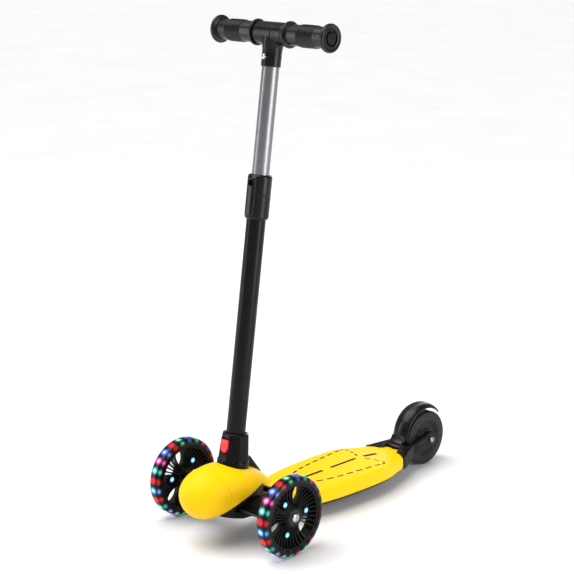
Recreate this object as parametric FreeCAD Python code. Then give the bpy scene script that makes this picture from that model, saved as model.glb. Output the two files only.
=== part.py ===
import FreeCAD, Part
import math
import os

# A child's three-wheeled kick scooter that is steered by leaning the handlebar.
# +Z is up, the front points to -Y, and the rider's left is +X.  Millimetres.
# The model is laid out with y = 0 on the front axle and then moved back by
# origin_shift_y, so that the origin is under the middle of the whole scooter.

os.makedirs("parts", exist_ok=True)

V = FreeCAD.Vector
X_AXIS = V(1, 0, 0)
Y_AXIS = V(0, 1, 0)
Z_AXIS = V(0, 0, 1)

# ---- driving dimensions ----------------------------------------------------

front_wheel_r = 60.0
front_track_half = 114.0
front_tyre_w = 21.0
front_rim_r = 50.0
rim_wall = 5.0
web_half = 6.0
boss_r = 15.0
boss_half = 10.0
fin_sectors = 3
fins_per_sector = 9
first_window_deg = 75.0
lamp_r = 4.0
lamp_pitch_r = 27.0
lamp_after_window_deg = 50.0

bearing_r = 11.0
bearing_w = 7.0
axle_r = 4.0
running_gap = 0.05
body_gap = 0.3

kingpin_x = 86.0
kingpin_r = 4.0
knuckle_r = 8.0
knuckle_z0 = 53.3
knuckle_z1 = 66.7
steer_arm_len = 24.0
steer_pin_r = 2.5
steer_pin_play = 0.25

rear_wheel_y = 424.0
rear_wheel_r = 45.0
rear_wheel_w = 26.0
rear_rim_r = 31.0
fork_inner_x = 15.0
fork_outer_x = 23.0
fork_boss_r = 12.5
axle_hex = 10.0
axle_head_h = 3.3

nose_r = 37.0
nose_y = -60.0
nose_z = 78.0
shell = 2.5
lean_axis_z = 70.0
lean_bolt_r = 6.0

deck_top_z = 48.0
deck_skirt_z = 24.0
deck_wall = 3.0
deck_base_z = 20.0
inlay_depth = 0.8
edge_dash_w = 3.4
centre_dash_w = 5.6
tail_dash_w = 7.4

rake_deg = 8.0
stem_base_y = 3.3
stem_base_z = 156.9
lower_tube_r = 14.0
upper_tube_r = 12.5
tube_slide_gap = 0.08
socket_depth = 55.0
collar_s0 = 313.0
collar_s1 = 377.0
collar_r = 17.6
height_pin_s = 365.0
height_pin_r = 3.5
tee_s0 = 529.5
bar_s = 576.0
bar_tube_r = 11.0
grip_in_x = 30.0
grip_out_x = 111.6
grip_r = 15.0
button_s0 = -29.0
button_s1 = -9.0
button_w = 15.6

fender_y = 418.5
fender_z = 53.8
fender_r = 51.3
fender_half_w = 15.6
fender_wall = 2.4
fender_crown = 5.0
fender_lip = 7.0
fender_knuckle_r = 4.5
fender_front_deg = 187.0
fender_rear_deg = 41.0
hinge_y = 361.5
hinge_z = 43.5
hinge_pin_r = 2.0

origin_shift_y = (nose_y - nose_r + rear_wheel_y + rear_wheel_r) / 2

# ---- helpers ---------------------------------------------------------------


def save(name, *shapes):
    """Write one named piece, a single solid or a group of separate solids."""
    shape = shapes[0] if len(shapes) == 1 else Part.makeCompound(list(shapes))
    shape = shape.copy()
    shape.translate(V(0, -origin_shift_y, 0))
    shape.exportStep("parts/" + name + ".step")


def box(x0, x1, y0, y1, z0, z1):
    return Part.makeBox(x1 - x0, y1 - y0, z1 - z0, V(x0, y0, z0))


def rod(radius, start, end):
    """A round bar between two points."""
    return Part.makeCylinder(radius, (end - start).Length, start, end - start)


def pipe(r_out, r_in, start, end):
    return rod(r_out, start, end).cut(rod(r_in, start, end))


def cone(r_start, r_end, start, end):
    return Part.makeCone(r_start, r_end, (end - start).Length, start, end - start)


def polygon(points):
    return Part.Face(Part.makePolygon(points + [points[0]]))


def side_prism(outline_yz, half_x):
    """A side view outline in Y and Z, carried across from -half_x to half_x."""
    face = polygon([V(-half_x, y, z) for y, z in outline_yz])
    return face.extrude(V(2 * half_x, 0, 0))


def plan_prism(half_widths, z0, z1, inset=0.0):
    """A plan outline given as (y, half width) stations, smooth down both sides, between two heights."""
    right = [V(max(w - inset, 1.0), y, z0) for y, w in half_widths]
    left = [V(-p.x, p.y, z0) for p in right]
    curves = []
    for row in (right, left):
        curve = Part.BSplineCurve()
        curve.interpolate(row)
        curves.append(curve.toShape())
    front = Part.makeLine(left[0], right[0])
    rear = Part.makeLine(left[-1], right[-1])
    face = Part.Face(Part.Wire(Part.__sortEdges__([front, curves[0], rear, curves[1]])))
    return face.extrude(V(0, 0, z1 - z0))


def turned(profile):
    """A closed outline of (x, radius) points turned about the X axis."""
    face = polygon([V(x, 0, r) for x, r in profile])
    return face.revolve(V(0, 0, 0), X_AXIS, 360)


def placed(shape, x=0.0, y=0.0, z=0.0):
    shape = shape.copy()
    shape.translate(V(x, y, z))
    return shape


def spun(shape, degrees, centre=V(0, 0, 0), axis=X_AXIS):
    shape = shape.copy()
    shape.rotate(centre, axis, degrees)
    return shape


def mirrored(shape):
    return shape.mirror(V(0, 0, 0), X_AXIS)


def fuse_all(first, *others):
    return first.multiFuse(list(others)).removeSplitter()


def cut_all(base, *tools):
    return base.cut(Part.makeCompound(list(tools)))


# ---- the raked stem axis ---------------------------------------------------

rake = math.radians(rake_deg)
stem_dir = V(0, math.sin(rake), math.cos(rake))
stem_front = V(0, -math.cos(rake), math.sin(rake))


def stem_point(s, forward=0.0, x=0.0):
    """The point s along the stem from the socket's mouth, moved forward and sideways."""
    base = V(x, stem_base_y, stem_base_z)
    return base + stem_dir * s + stem_front * forward


def stem_block(s0, s1, f0, f1, half_x, x=0.0):
    """A block square to the stem: s0 to s1 along it, f0 to f1 forward of its axis."""
    corner = stem_point(s0, f0, x - half_x)
    edge = polygon([
        corner,
        corner + X_AXIS * (2 * half_x),
        corner + X_AXIS * (2 * half_x) + stem_front * (f1 - f0),
        corner + stem_front * (f1 - f0),
    ])
    return edge.extrude(stem_dir * (s1 - s0))


# ---- front wheels ----------------------------------------------------------


def tyre_profile_solid(radius, bore, width, shoulder):
    """A tyre: straight side walls, round shoulders and a flat tread, turned about X."""
    w = width / 2
    c = shoulder * (1 - math.sqrt(0.5))
    start = V(-w, 0, bore)
    edges = [
        Part.makeLine(start, V(-w, 0, radius - shoulder)),
        Part.Arc(V(-w, 0, radius - shoulder), V(-w + c, 0, radius - c), V(-w + shoulder, 0, radius)).toShape(),
        Part.makeLine(V(-w + shoulder, 0, radius), V(w - shoulder, 0, radius)),
        Part.Arc(V(w - shoulder, 0, radius), V(w - c, 0, radius - c), V(w, 0, radius - shoulder)).toShape(),
        Part.makeLine(V(w, 0, radius - shoulder), V(w, 0, bore)),
        Part.makeLine(V(w, 0, bore), start),
    ]
    return Part.Face(Part.Wire(edges)).revolve(V(0, 0, 0), X_AXIS, 360)


def bearing_pair(outer_face):
    """Two 8 x 22 x 7 ball bearings, their outer faces at +-outer_face."""
    inner = outer_face - bearing_w
    rings = []
    for x0, x1 in ((inner, outer_face), (-outer_face, -inner)):
        rings.append(pipe(bearing_r, axle_r + running_gap, V(x0, 0, 0), V(x1, 0, 0)))
    return rings


def front_hub():
    """A finned hub: rim, web with slots between its fins, three windows, and a boss for two bearings."""
    rim = pipe(front_rim_r, front_rim_r - rim_wall, V(-10.5, 0, 0), V(10.5, 0, 0))
    web = pipe(front_rim_r - rim_wall, boss_r, V(-web_half, 0, 0), V(web_half, 0, 0))
    boss = rod(boss_r, V(-boss_half, 0, 0), V(boss_half, 0, 0))
    hub = fuse_all(rim, web, boss)
    slot_in, slot_out = 19.0, 43.0
    slot = box(-20, 20, slot_in, slot_out, -1.1, 1.1)
    window = pipe(slot_out, slot_in, V(-20, 0, 0), V(20, 0, 0))
    window = window.common(box(-20, 20, 0, 60, -60, 60)).common(spun(box(-20, 20, 0, 60, -60, 0), 13))
    window = window.common(spun(box(-20, 20, 0, 60, 0, 60), -13))
    tools = []
    sector = 360.0 / fin_sectors
    fin_pitch = (sector - 26.0) / (fins_per_sector + 1)
    for n in range(fin_sectors):
        start = first_window_deg + n * sector
        tools.append(spun(window, start))
        tools.append(spun(rod(lamp_r, V(-20, lamp_pitch_r, 0), V(20, lamp_pitch_r, 0)),
                          start + lamp_after_window_deg))
        for k in range(fins_per_sector):
            turn = 13.0 + fin_pitch * (k + 1)
            if abs(turn - lamp_after_window_deg) > 12:
                tools.append(spun(slot, start + turn))
    tools.append(rod(axle_r + 2.5, V(-20, 0, 0), V(20, 0, 0)))
    for x0 in (boss_half - bearing_w, -boss_half):
        tools.append(rod(bearing_r, V(x0, 0, 0), V(x0 + bearing_w, 0, 0)))
    return cut_all(hub, *tools)


def lamps():
    pieces = []
    for n in range(fin_sectors):
        turn = first_window_deg + n * 360.0 / fin_sectors + lamp_after_window_deg
        lamp = rod(lamp_r, V(-web_half, lamp_pitch_r, 0), V(web_half + 0.6, lamp_pitch_r, 0))
        pieces.append(spun(lamp, turn))
    return pieces


def front_wheel(side, sign):
    """All pieces of one front wheel.  The two wheels are alike; the one on -X is turned half round."""
    def at_axle(shape):
        shape = shape if sign > 0 else spun(shape, 180, axis=Z_AXIS)
        return placed(shape, sign * front_track_half, 0, front_wheel_r)

    save(side + "_tyre", at_axle(tyre_profile_solid(front_wheel_r, front_rim_r, front_tyre_w, 8.0)))
    save(side + "_hub", at_axle(front_hub()))
    save(side + "_bearings", *[at_axle(ring) for ring in bearing_pair(boss_half)])
    half = boss_half - bearing_w
    magnet = pipe(axle_r + 2.4, axle_r + running_gap, V(-half, 0, 0), V(half, 0, 0))
    save(side + "_magnet_spacer", at_axle(magnet))
    save(side + "_lamps", *[at_axle(lamp) for lamp in lamps()])


# ---- steering knuckles, tie rod and the carrier ----------------------------


def knuckle():
    """The left knuckle: barrel on the kingpin, stub for the axle bolt, arm forward to the tie rod."""
    mid_z = front_wheel_r
    barrel = rod(knuckle_r, V(kingpin_x, 0, knuckle_z0), V(kingpin_x, 0, knuckle_z1))
    stub_end = front_track_half - boss_half - body_gap
    stub = rod(6.5, V(kingpin_x, 0, mid_z), V(stub_end, 0, mid_z))
    arm_z0 = mid_z - 0.5
    arm = box(kingpin_x - 4, kingpin_x + 4, -steer_arm_len, 0, arm_z0, knuckle_z1)
    arm_end = rod(5.0, V(kingpin_x, -steer_arm_len, arm_z0), V(kingpin_x, -steer_arm_len, knuckle_z1))
    pin = rod(steer_pin_r, V(kingpin_x, -steer_arm_len, 52.5), V(kingpin_x, -steer_arm_len, arm_z0 + 2))
    solid = fuse_all(barrel, stub, arm, arm_end, pin)
    bore = rod(kingpin_r + running_gap, V(kingpin_x, 0, 0), V(kingpin_x, 0, 100))
    bolt_hole = rod(axle_r, V(kingpin_x + 5, 0, mid_z), V(200, 0, mid_z))
    return cut_all(solid, bore, bolt_hole)


def axle_bolt():
    """M8 front axle bolt with a domed socket head."""
    face = front_track_half + boss_half + body_gap
    shank = rod(axle_r, V(kingpin_x + 5, 0, front_wheel_r), V(face, 0, front_wheel_r))
    head = cone(6.6, 4.6, V(face, 0, front_wheel_r), V(face + 3.2, 0, front_wheel_r))
    socket = rod(2.4, V(face + 1.0, 0, front_wheel_r), V(face + 4, 0, front_wheel_r))
    return fuse_all(shank, head).cut(socket)


def tie_rod():
    rod_z0, rod_z1 = 53.5, 57.5
    y = -steer_arm_len
    bar = box(-kingpin_x, kingpin_x, y - 3, y + 3, rod_z0, rod_z1)
    eyes = []
    holes = []
    hole_r = steer_pin_r + steer_pin_play
    for x in (-kingpin_x, kingpin_x):
        eyes.append(rod(6.5, V(x, y, rod_z0), V(x, y, rod_z1)))
        holes.append(rod(hole_r, V(x, y, 0), V(x, y, 100)))
        holes.append(rod(hole_r, V(x, y + 0.9, 0), V(x, y + 0.9, 100)))
        holes.append(box(x - hole_r, x + hole_r, y, y + 0.9, 0, 100))
    return cut_all(fuse_all(bar, *eyes), *holes)


# the lower edge of the front cover in side view: it climbs from under the nose to an arch over the axle
cover_edge = [(-56, 44), (-51, 52), (-43, 61), (-33, 70), (-19, 78), (-5, 83.5), (6, 86), (16, 85.5),
              (28, 80), (44, 71.5), (70, 64)]
carrier_plan = [(-50, 17), (-44, 29), (-30, 37), (-8, 39.5), (10, 38), (22, 33), (32, 27)]


def front_carrier():
    """The front axle carrier: an open tub under the cover, two arms with forks for the kingpins, and
    a tongue that bolts to the deck."""
    floor_z = 42.0
    below_edge = [(y, z - 1.2) for y, z in cover_edge if y < 40]
    outline = [(-52, 47)] + below_edge[1:] + [(34, 76), (34, floor_z - 4), (-20, floor_z - 2), (-42, floor_z + 3)]
    outer = plan_prism(carrier_plan, 20, 100).common(side_prism(outline, 60))
    inner = plan_prism(carrier_plan, floor_z + 5, 100, inset=3.0).common(box(-60, 60, -46, 28.5, 0, 120))
    tub = outer.cut(inner)
    webs = []
    for y0 in (-38.0, 22.5):
        web = box(-24, 24, y0, y0 + 6, floor_z, lean_axis_z + 9)
        webs.append(web.common(plan_prism(carrier_plan, 20, 100, inset=1.0)))
    posts = [rod(7, V(x, -2, floor_z), V(x, -2, 64)) for x in (-22, 22)]
    arms = []
    for sign in (-1, 1):
        root = sign * 36
        mid = sign * 66
        tip = sign * 77.5
        arm_face = polygon([V(root, -11, 42), V(root, -11, 68), V(mid, -11, 66), V(tip, -11, 71.5),
                            V(tip, -11, 48.5), V(mid, -11, 46)])
        arms.append(arm_face.extrude(V(0, 22, 0)))
        for z0, z1 in ((48.5, knuckle_z0 - body_gap), (knuckle_z1 + body_gap, 71.5)):
            arms.append(rod(knuckle_r, V(sign * kingpin_x, 0, z0), V(sign * kingpin_x, 0, z1)))
            x0, x1 = sorted((sign * 75, sign * kingpin_x))
            arms.append(box(x0, x1, -8, 8, z0, z1))
    tongue = box(-20, 20, 30, 118, 28, 40)
    neck = side_prism([(30, 34), (30, 60), (44, 58), (64, 47), (84, 40), (84, 28), (52, 28)], 24)
    solid = fuse_all(tub, tongue, neck, *(webs + posts + arms))
    rod_way = box(-200, 200, -steer_arm_len - 8, -steer_arm_len + 8, 51.5, 59.5)
    bolt_way = rod(lean_bolt_r, V(0, -200, lean_axis_z), V(0, 200, lean_axis_z))
    pins = [rod(kingpin_r, V(x, 0, 0), V(x, 0, 100)) for x in (-kingpin_x, kingpin_x)]
    screws = [rod(2.5, V(x, y, 0), V(x, y, 36)) for x in (-12, 12) for y in (92, 108)]
    return cut_all(solid, rod_way, bolt_way, *(pins + screws))


def kingpins():
    pins = []
    for x in (-kingpin_x, kingpin_x):
        shank = rod(kingpin_r, V(x, 0, 48.5), V(x, 0, 71.5))
        head = cone(6.0, 4.5, V(x, 0, 71.5), V(x, 0, 74.0))
        foot = rod(5.5, V(x, 0, 47.0), V(x, 0, 48.5))
        pins.append(fuse_all(shank, head, foot))
    return pins


def lean_bolt():
    shank = rod(lean_bolt_r, V(0, -38, lean_axis_z), V(0, 38, lean_axis_z))
    head = rod(9.0, V(0, -42.5, lean_axis_z), V(0, -38, lean_axis_z))
    return fuse_all(shank, head)


def lean_nut():
    nut = rod(9.0, V(0, 32.2, lean_axis_z), V(0, 37.2, lean_axis_z))
    return nut.cut(rod(lean_bolt_r, V(0, 0, lean_axis_z), V(0, 60, lean_axis_z)))


# ---- the steering head -----------------------------------------------------


def octagon(across_flats, s):
    r = across_flats / 2 / math.cos(math.pi / 8)
    points = []
    for k in range(8):
        a = math.pi / 8 + k * math.pi / 4
        points.append(stem_point(s, r * math.sin(a), r * math.cos(a)))
    return Part.makePolygon(points + [points[0]])


def socket_outer():
    """Tapered eight-sided socket over a wider round collar."""
    taper = Part.makeLoft([octagon(44, -39), octagon(41.5, -22), octagon(38, -1.5)], True, True)
    rim = Part.makeLoft([octagon(38, -1.5), octagon(34, 0)], True, True)
    collar = rod(23.5, stem_point(-66), stem_point(-39))
    return fuse_all(taper, rim, collar)


def gusset():
    return side_prism([(8, 98), (8, 126), (24, 117), (45, 89), (45, 82), (26, 82)], 11)


def steering_head():
    root = side_prism([(-20, 76), (-24, 97), (8, 104), (26, 96), (21, 76)], 14)
    wings = box(-30, 30, -11, 8, 80.3, 86)
    lug = box(-9, 9, -20, 20, lean_axis_z, 80)
    barrel = rod(9.0, V(0, -31, lean_axis_z), V(0, 21.5, lean_axis_z))
    solid = fuse_all(socket_outer(), gusset(), root, wings, lug, barrel)
    tube_bore = rod(lower_tube_r + running_gap, stem_point(-socket_depth), stem_point(5))
    pivot = rod(lean_bolt_r + running_gap, V(0, -200, lean_axis_z), V(0, 200, lean_axis_z))
    pocket = stem_block(button_s0 - 0.4, button_s1 + 0.4, 10, 40, button_w / 2 + 0.4)
    screws = [rod(2.0, V(x, -5, 60), V(x, -5, 95)) for x in (-25, 25)]
    return cut_all(solid, tube_bore, pivot, pocket, *screws)


def release_button():
    """Shield-shaped push button: square shoulders, tapered foot, slightly domed face."""
    back, face = 17.6, 22.3
    w = button_w / 2
    outline = [
        stem_point(button_s1, back, -w),
        stem_point(button_s1, back, w),
        stem_point(button_s0 + 6, back, w),
        stem_point(button_s0, back, w * 0.45),
        stem_point(button_s0, back, -w * 0.45),
        stem_point(button_s0 + 6, back, -w),
    ]
    return polygon(outline).extrude(stem_front * (face - back))


def release_leaf():
    return stem_block(button_s0 + 3, button_s1 - 3, 17.05, 17.6, 5)


# ---- the front cover -------------------------------------------------------

# (y, half width, top height, widest height, bottom height) of the cover's cross-sections
cover_stations = [
    (-66, 34.0, 111.5, 78.0, 44.5),
    (-48, 42.0, 115.3, 78.0, 43.0),
    (-32, 48.0, 114.8, 78.0, 45.0),
    (-12, 51.5, 112.0, 78.0, 48.0),
    (8, 48.0, 107.5, 78.0, 50.0),
    (26, 38.5, 100.5, 77.0, 52.0),
    (44, 26.0, 89.0, 74.0, 56.0),
    (62, 13.0, 72.0, 68.0, 60.0),
]


def cover_section(y, half_w, top, mid, bottom, inset):
    """An egg-shaped section: upper and lower half ellipses that share one width."""
    w = half_w - inset
    up = top - inset - mid
    down = mid - bottom - inset
    points = []
    steps = 24
    for k in range(steps):
        a = 2 * math.pi * k / steps
        height = up if math.sin(a) > 0 else down
        points.append(V(w * math.cos(a), y, mid + height * math.sin(a)))
    curve = Part.BSplineCurve()
    curve.interpolate(points, PeriodicFlag=True)
    return Part.Wire(curve.toShape())


def cover_body(inset):
    """The ball nose and the egg-shaped body behind it, moved in by inset."""
    wires = [cover_section(*station, inset) for station in cover_stations]
    ball = Part.makeSphere(nose_r - inset, V(0, nose_y, nose_z), Y_AXIS)
    return ball.fuse(Part.makeLoft(wires, True))


def front_cover():
    """One moulded shell: ball nose, broad shoulders, a tail that falls to the deck, arched sides."""
    under = side_prism(cover_edge + [(70, 0), (-56, 0)], 80)
    tail = box(-60, 60, 61.0, 80, 0, 120)
    solid = cut_all(cover_body(0.0), under, tail)
    hollow = cover_body(shell)
    return solid.cut(hollow).cut(socket_outer()).cut(gusset())


# ---- stem ------------------------------------------------------------------


def lower_tube():
    tube = pipe(lower_tube_r, upper_tube_r + tube_slide_gap, stem_point(-socket_depth + 1), stem_point(345))
    return tube


def height_collar():
    """Clamp-shaped collar with rounded ends and a raised panel that holds the height button's hole."""
    body = rod(collar_r, stem_point(collar_s0 + 4), stem_point(collar_s1 - 4))
    low = cone(collar_r - 2.2, collar_r, stem_point(collar_s0), stem_point(collar_s0 + 4))
    high = cone(collar_r, collar_r - 2.2, stem_point(collar_s1 - 4), stem_point(collar_s1))
    panel = stem_block(collar_s0 + 7, collar_s1 - 5, 5, collar_r + 1.2, 7)
    solid = fuse_all(body, low, high, panel)
    tube_seat = rod(lower_tube_r, stem_point(collar_s0 - 1), stem_point(345))
    slide = rod(upper_tube_r + tube_slide_gap, stem_point(340), stem_point(collar_s1 + 1))
    hole = rod(height_pin_r + 0.7, stem_point(height_pin_s), stem_point(height_pin_s, 40))
    return cut_all(solid, tube_seat, slide, hole)


def upper_tube():
    tube = pipe(upper_tube_r, upper_tube_r - 1.2, stem_point(223), stem_point(560))
    hole = rod(height_pin_r + 0.08, stem_point(height_pin_s), stem_point(height_pin_s, 40))
    return tube.cut(hole)


def height_pin():
    """Round pin whose end follows the tube's own curve, so that it stays inside the lower tube."""
    shank = rod(height_pin_r, stem_point(height_pin_s, 9.8), stem_point(height_pin_s, upper_tube_r))
    tube_outside = rod(upper_tube_r - 0.05, stem_point(height_pin_s - 10), stem_point(height_pin_s + 10))
    return shank.common(tube_outside)


def height_leaf():
    return stem_block(height_pin_s - 22, height_pin_s + 4, 9.2, 9.8, 2.5)


def tee_piece():
    """Moulded T: bar sleeve, stem sleeve, a rounded shoulder where they meet, a blank raised patch."""
    sleeve = rod(16.0, stem_point(bar_s, 0, -29), stem_point(bar_s, 0, 29))
    lip = rod(14.3, stem_point(tee_s0), stem_point(bar_s))
    shoulder = cone(14.3, 21.0, stem_point(bar_s - 26), stem_point(bar_s - 8))
    shoulder = shoulder.common(stem_block(bar_s - 30, bar_s, -16, 16, 30))
    patch = stem_block(bar_s - 14, bar_s + 8, 10, 17.2, 8)
    boss = rod(5.5, stem_point(543, 8), stem_point(543, 15.8))
    solid = fuse_all(sleeve, lip, shoulder, patch, boss)
    bar_hole = rod(bar_tube_r, stem_point(bar_s, 0, -60), stem_point(bar_s, 0, 60))
    tube_hole = rod(upper_tube_r, stem_point(tee_s0 - 1), stem_point(561))
    screw = rod(2.5, stem_point(543, 12.5), stem_point(543, 40))
    return cut_all(solid, bar_hole, tube_hole, screw)


def tee_screw():
    shank = rod(2.5, stem_point(543, upper_tube_r), stem_point(543, 15.8))
    head = rod(3.8, stem_point(543, 15.8), stem_point(543, 17.8))
    hex_hole = rod(1.6, stem_point(543, 16.6), stem_point(543, 19))
    return fuse_all(shank, head).cut(hex_hole)


def bar_tube():
    return pipe(bar_tube_r, bar_tube_r - 1.5, stem_point(bar_s, 0, -108), stem_point(bar_s, 0, 108))


def grip(sign):
    """A grip turned about the bar: thick outer flange, seven ribs in the middle, inner flange."""
    length = grip_out_x - grip_in_x
    profile = [(0, bar_tube_r), (0, 18.0), (1.0, 19.0), (3.2, 19.0), (4.2, 18.0), (4.2, grip_r)]
    rib_pitch = 4.4
    first_rib = 27.0
    for n in range(7):
        x = first_rib + n * rib_pitch
        profile += [(x, grip_r), (x + 0.8, grip_r + 1.2), (x + 2.4, grip_r + 1.2), (x + 3.2, grip_r)]
    profile += [(length - 6.5, grip_r), (length - 6.5, 18.8), (length - 5, 20.3), (length - 1.4, 20.3),
                (length, 19.0), (length, 12.0), (length - 3.5, 12.0), (length - 3.5, bar_tube_r)]
    solid = turned(profile)
    solid = placed(solid, grip_in_x)
    if sign < 0:
        solid = mirrored(solid)
    centre = stem_point(bar_s)
    return placed(solid, 0, centre.y, centre.z)


def grip_plug(sign):
    head = sorted((sign * (grip_out_x - 3.5), sign * (grip_out_x + 0.4)))
    plug = rod(8.5, stem_point(bar_s, 0, head[0]), stem_point(bar_s, 0, head[1]))
    stub = sorted((sign * 98, sign * (grip_out_x - 3.5)))
    return fuse_all(plug, rod(bar_tube_r - 1.5, stem_point(bar_s, 0, stub[0]), stem_point(bar_s, 0, stub[1])))


# ---- deck ------------------------------------------------------------------

deck_plan = [(66, 27), (84, 36), (109, 45.5), (150, 54), (196, 57.5), (242, 58), (286, 54.5), (312, 47),
             (332, 41.5)]
deck_top = [(66, 58), (80, 52.5), (96, deck_top_z), (265, deck_top_z), (284, 46.6), (323, 41.8), (357, 40.5)]


def deck_solid(inset, top_drop, base_z):
    """The deck's outline in plan under its top line, moved in by inset and down by top_drop."""
    front = deck_plan[0][0] + inset
    rear = deck_plan[-1][0] - inset
    plan = plan_prism(deck_plan, base_z, 80, inset).common(box(-80, 80, front, rear, 0, 100))
    top = [(y, z - top_drop) for y, z in deck_top]
    return plan.common(side_prism(top + [(357, base_z), (66, base_z)], 80))


def deck_tail():
    """The two scallops and the double prong that end the cover above the rear wheel's fork."""
    half = [(41.5, 331.5), (34, 336), (27, 341), (18, 342.5), (15.5, 349), (14, 355.5), (7, 356.5), (0, 353.5)]
    outline = [V(x, y, 30) for x, y in half] + [V(-x, y, 30) for x, y in half[-2::-1]]
    prism = polygon(outline).extrude(V(0, 0, 40))
    return prism.common(side_prism([(310, 43.4), (323, 41.8), (357, 40.5), (357, 37.7), (323, 38.8), (310, 40.4)], 80))


def inlay_dashes():
    """The dashed lines let into the deck, as (y0, x0, y1, x1, width) strokes on the left half."""
    strokes = []
    edge_line = [(148, 24.5), (166, 30.5), (185, 34), (204, 36.5), (223, 39), (242, 41), (262, 43), (280, 46)]
    for (y0, x0), (y1, x1) in zip(edge_line[:-1], edge_line[1:]):
        strokes.append((y0, x0, y0 + (y1 - y0) * 0.66, x0 + (x1 - x0) * 0.66, edge_dash_w))
    strokes.append((277, 45.6, 284, 44.5, edge_dash_w))
    strokes.append((286, 42.5, 287.5, 36, edge_dash_w))
    strokes.append((285.6, 30, 283, 22, edge_dash_w))
    strokes.append((281, 17, 276.5, 8, edge_dash_w))
    return strokes


def stroke_prism(y0, x0, y1, x1, width):
    direction = V(x1 - x0, y1 - y0, 0)
    direction.normalize()
    across = V(-direction.y, direction.x, 0) * (width / 2)
    start = V(x0, y0, 30)
    end = V(x1, y1, 30)
    return polygon([start - across, end - across, end + across, start + across]).extrude(V(0, 0, 40))


def deck_inlays(cover_block):
    """Every dash, cut from the top skin of the deck so that it lies flush."""
    strokes = []
    for stroke in inlay_dashes():
        y0, x0, y1, x1, width = stroke
        strokes.append(stroke)
        strokes.append((y0, -x0, y1, -x1, width))
    strokes += [(148, 0, 188, 0, centre_dash_w), (206, 0, 264, 0, centre_dash_w), (283, 0, 314, 0, tail_dash_w)]
    skin = cover_block.cut(placed(cover_block, 0, 0, -inlay_depth))
    return [stroke_prism(*stroke).common(skin) for stroke in strokes]


def carrier_ways():
    """The room that the front carrier's tongue and neck take in the deck."""
    return [box(-20.2, 20.2, 60, 118.2, 0, 40.2), box(-24.2, 24.2, 60, 84.2, 0, 48.0)]


def deck_cover_and_inlays(base):
    block = deck_solid(0.0, 0.0, deck_skirt_z)
    inlays = deck_inlays(block)
    hollow = deck_solid(deck_wall, deck_wall, deck_skirt_z - 1)
    cover = fuse_all(block.cut(hollow), deck_tail().cut(block))
    return cut_all(cover, base, *(carrier_ways() + inlays)), inlays


def fork_arm(sign):
    """One arm of the rear fork, from the deck's base to a round boss at the axle."""
    outline = [(322, deck_base_z), (322, 37.5), (340, 37.0), (352, 46), (384, 46), (410, 53), (424, 57.5), (424, 33),
               (396, 26), (360, deck_base_z - 1)]
    x0, x1 = sorted((sign * fork_inner_x, sign * fork_outer_x))
    face = polygon([V(x0, y, z) for y, z in outline])
    arm = face.extrude(V(x1 - x0, 0, 0))
    boss = rod(fork_boss_r, V(x0, rear_wheel_y, rear_wheel_r), V(x1, rear_wheel_y, rear_wheel_r))
    root = polygon([V(sign * 15, 318, deck_base_z), V(sign * 37.5, 318, deck_base_z), V(sign * 36, 345, deck_base_z),
                    V(sign * fork_outer_x, 372, deck_base_z), V(sign * fork_inner_x, 366, deck_base_z),
                    V(sign * 15, 352, deck_base_z)])
    root = root.extrude(V(0, 0, 17))
    return fuse_all(arm, boss, root)


def deck_base():
    """The black base: a pan inside the cover, ribs, the rear cross wall, the fork and the hinge ears."""
    gap = 0.2
    pan = deck_solid(deck_wall + gap, deck_wall + gap, deck_base_z)
    cells = []
    for n in range(4):
        y0 = 126 + n * 46
        for x0, x1 in ((-44, -16), (-13, 13), (16, 44)):
            cells.append(box(x0, x1, y0, y0 + 42, deck_base_z - 1, 41))
    rear_wall = box(-20, 20, 322, 370, deck_base_z, 37.5)
    ears = []
    for x0 in (-17.0, 13.0):
        ears.append(box(x0, x0 + 4, hinge_y - 5, hinge_y + 5, 37, hinge_z))
        ears.append(rod(5, V(x0, hinge_y, hinge_z), V(x0 + 4, hinge_y, hinge_z)))
    solid = fuse_all(pan.cut(Part.makeCompound(cells)), rear_wall, fork_arm(1), fork_arm(-1), *ears)
    axle_way = rod(axle_r, V(-60, rear_wheel_y, rear_wheel_r), V(60, rear_wheel_y, rear_wheel_r))
    pin_way = rod(hinge_pin_r, V(-60, hinge_y, hinge_z), V(60, hinge_y, hinge_z))
    wheel_way = rod(rear_wheel_r + 4, V(-14.6, rear_wheel_y, rear_wheel_r), V(14.6, rear_wheel_y, rear_wheel_r))
    return cut_all(solid, axle_way, pin_way, wheel_way, *carrier_ways())


# ---- rear wheel and brake --------------------------------------------------


def rear_wheel():
    def at_axle(shape):
        return placed(shape, 0, rear_wheel_y, rear_wheel_r)

    save("rear_tyre", at_axle(tyre_profile_solid(rear_wheel_r, rear_rim_r, rear_wheel_w, 8.0)))
    w = rear_wheel_w / 2
    disc = turned([(-w, 7.0), (-w, 14.0), (-w + 4, 16.0), (-w + 4, 25.0), (-w + 1, 27.5), (-w + 1, rear_rim_r),
                   (w - 1, rear_rim_r), (w - 1, 27.5), (w - 4, 25.0), (w - 4, 16.0), (w, 14.0), (w, 7.0)])
    seats = [rod(bearing_r, V(x0, 0, 0), V(x0 + bearing_w, 0, 0)) for x0 in (w - bearing_w, -w)]
    save("rear_hub", at_axle(cut_all(disc, *seats)))
    save("rear_bearings", *[at_axle(ring) for ring in bearing_pair(w)])
    half = w - bearing_w
    spacer = pipe(6.5, axle_r + running_gap, V(-half, 0, 0), V(half, 0, 0))
    save("rear_inner_spacer", at_axle(spacer))
    bushes = [at_axle(pipe(6.0, axle_r, V(x0, 0, 0), V(x1, 0, 0)))
              for x0, x1 in ((w + body_gap, fork_inner_x), (-fork_inner_x, -w - body_gap))]
    save("rear_side_bushes", *bushes)


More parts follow.
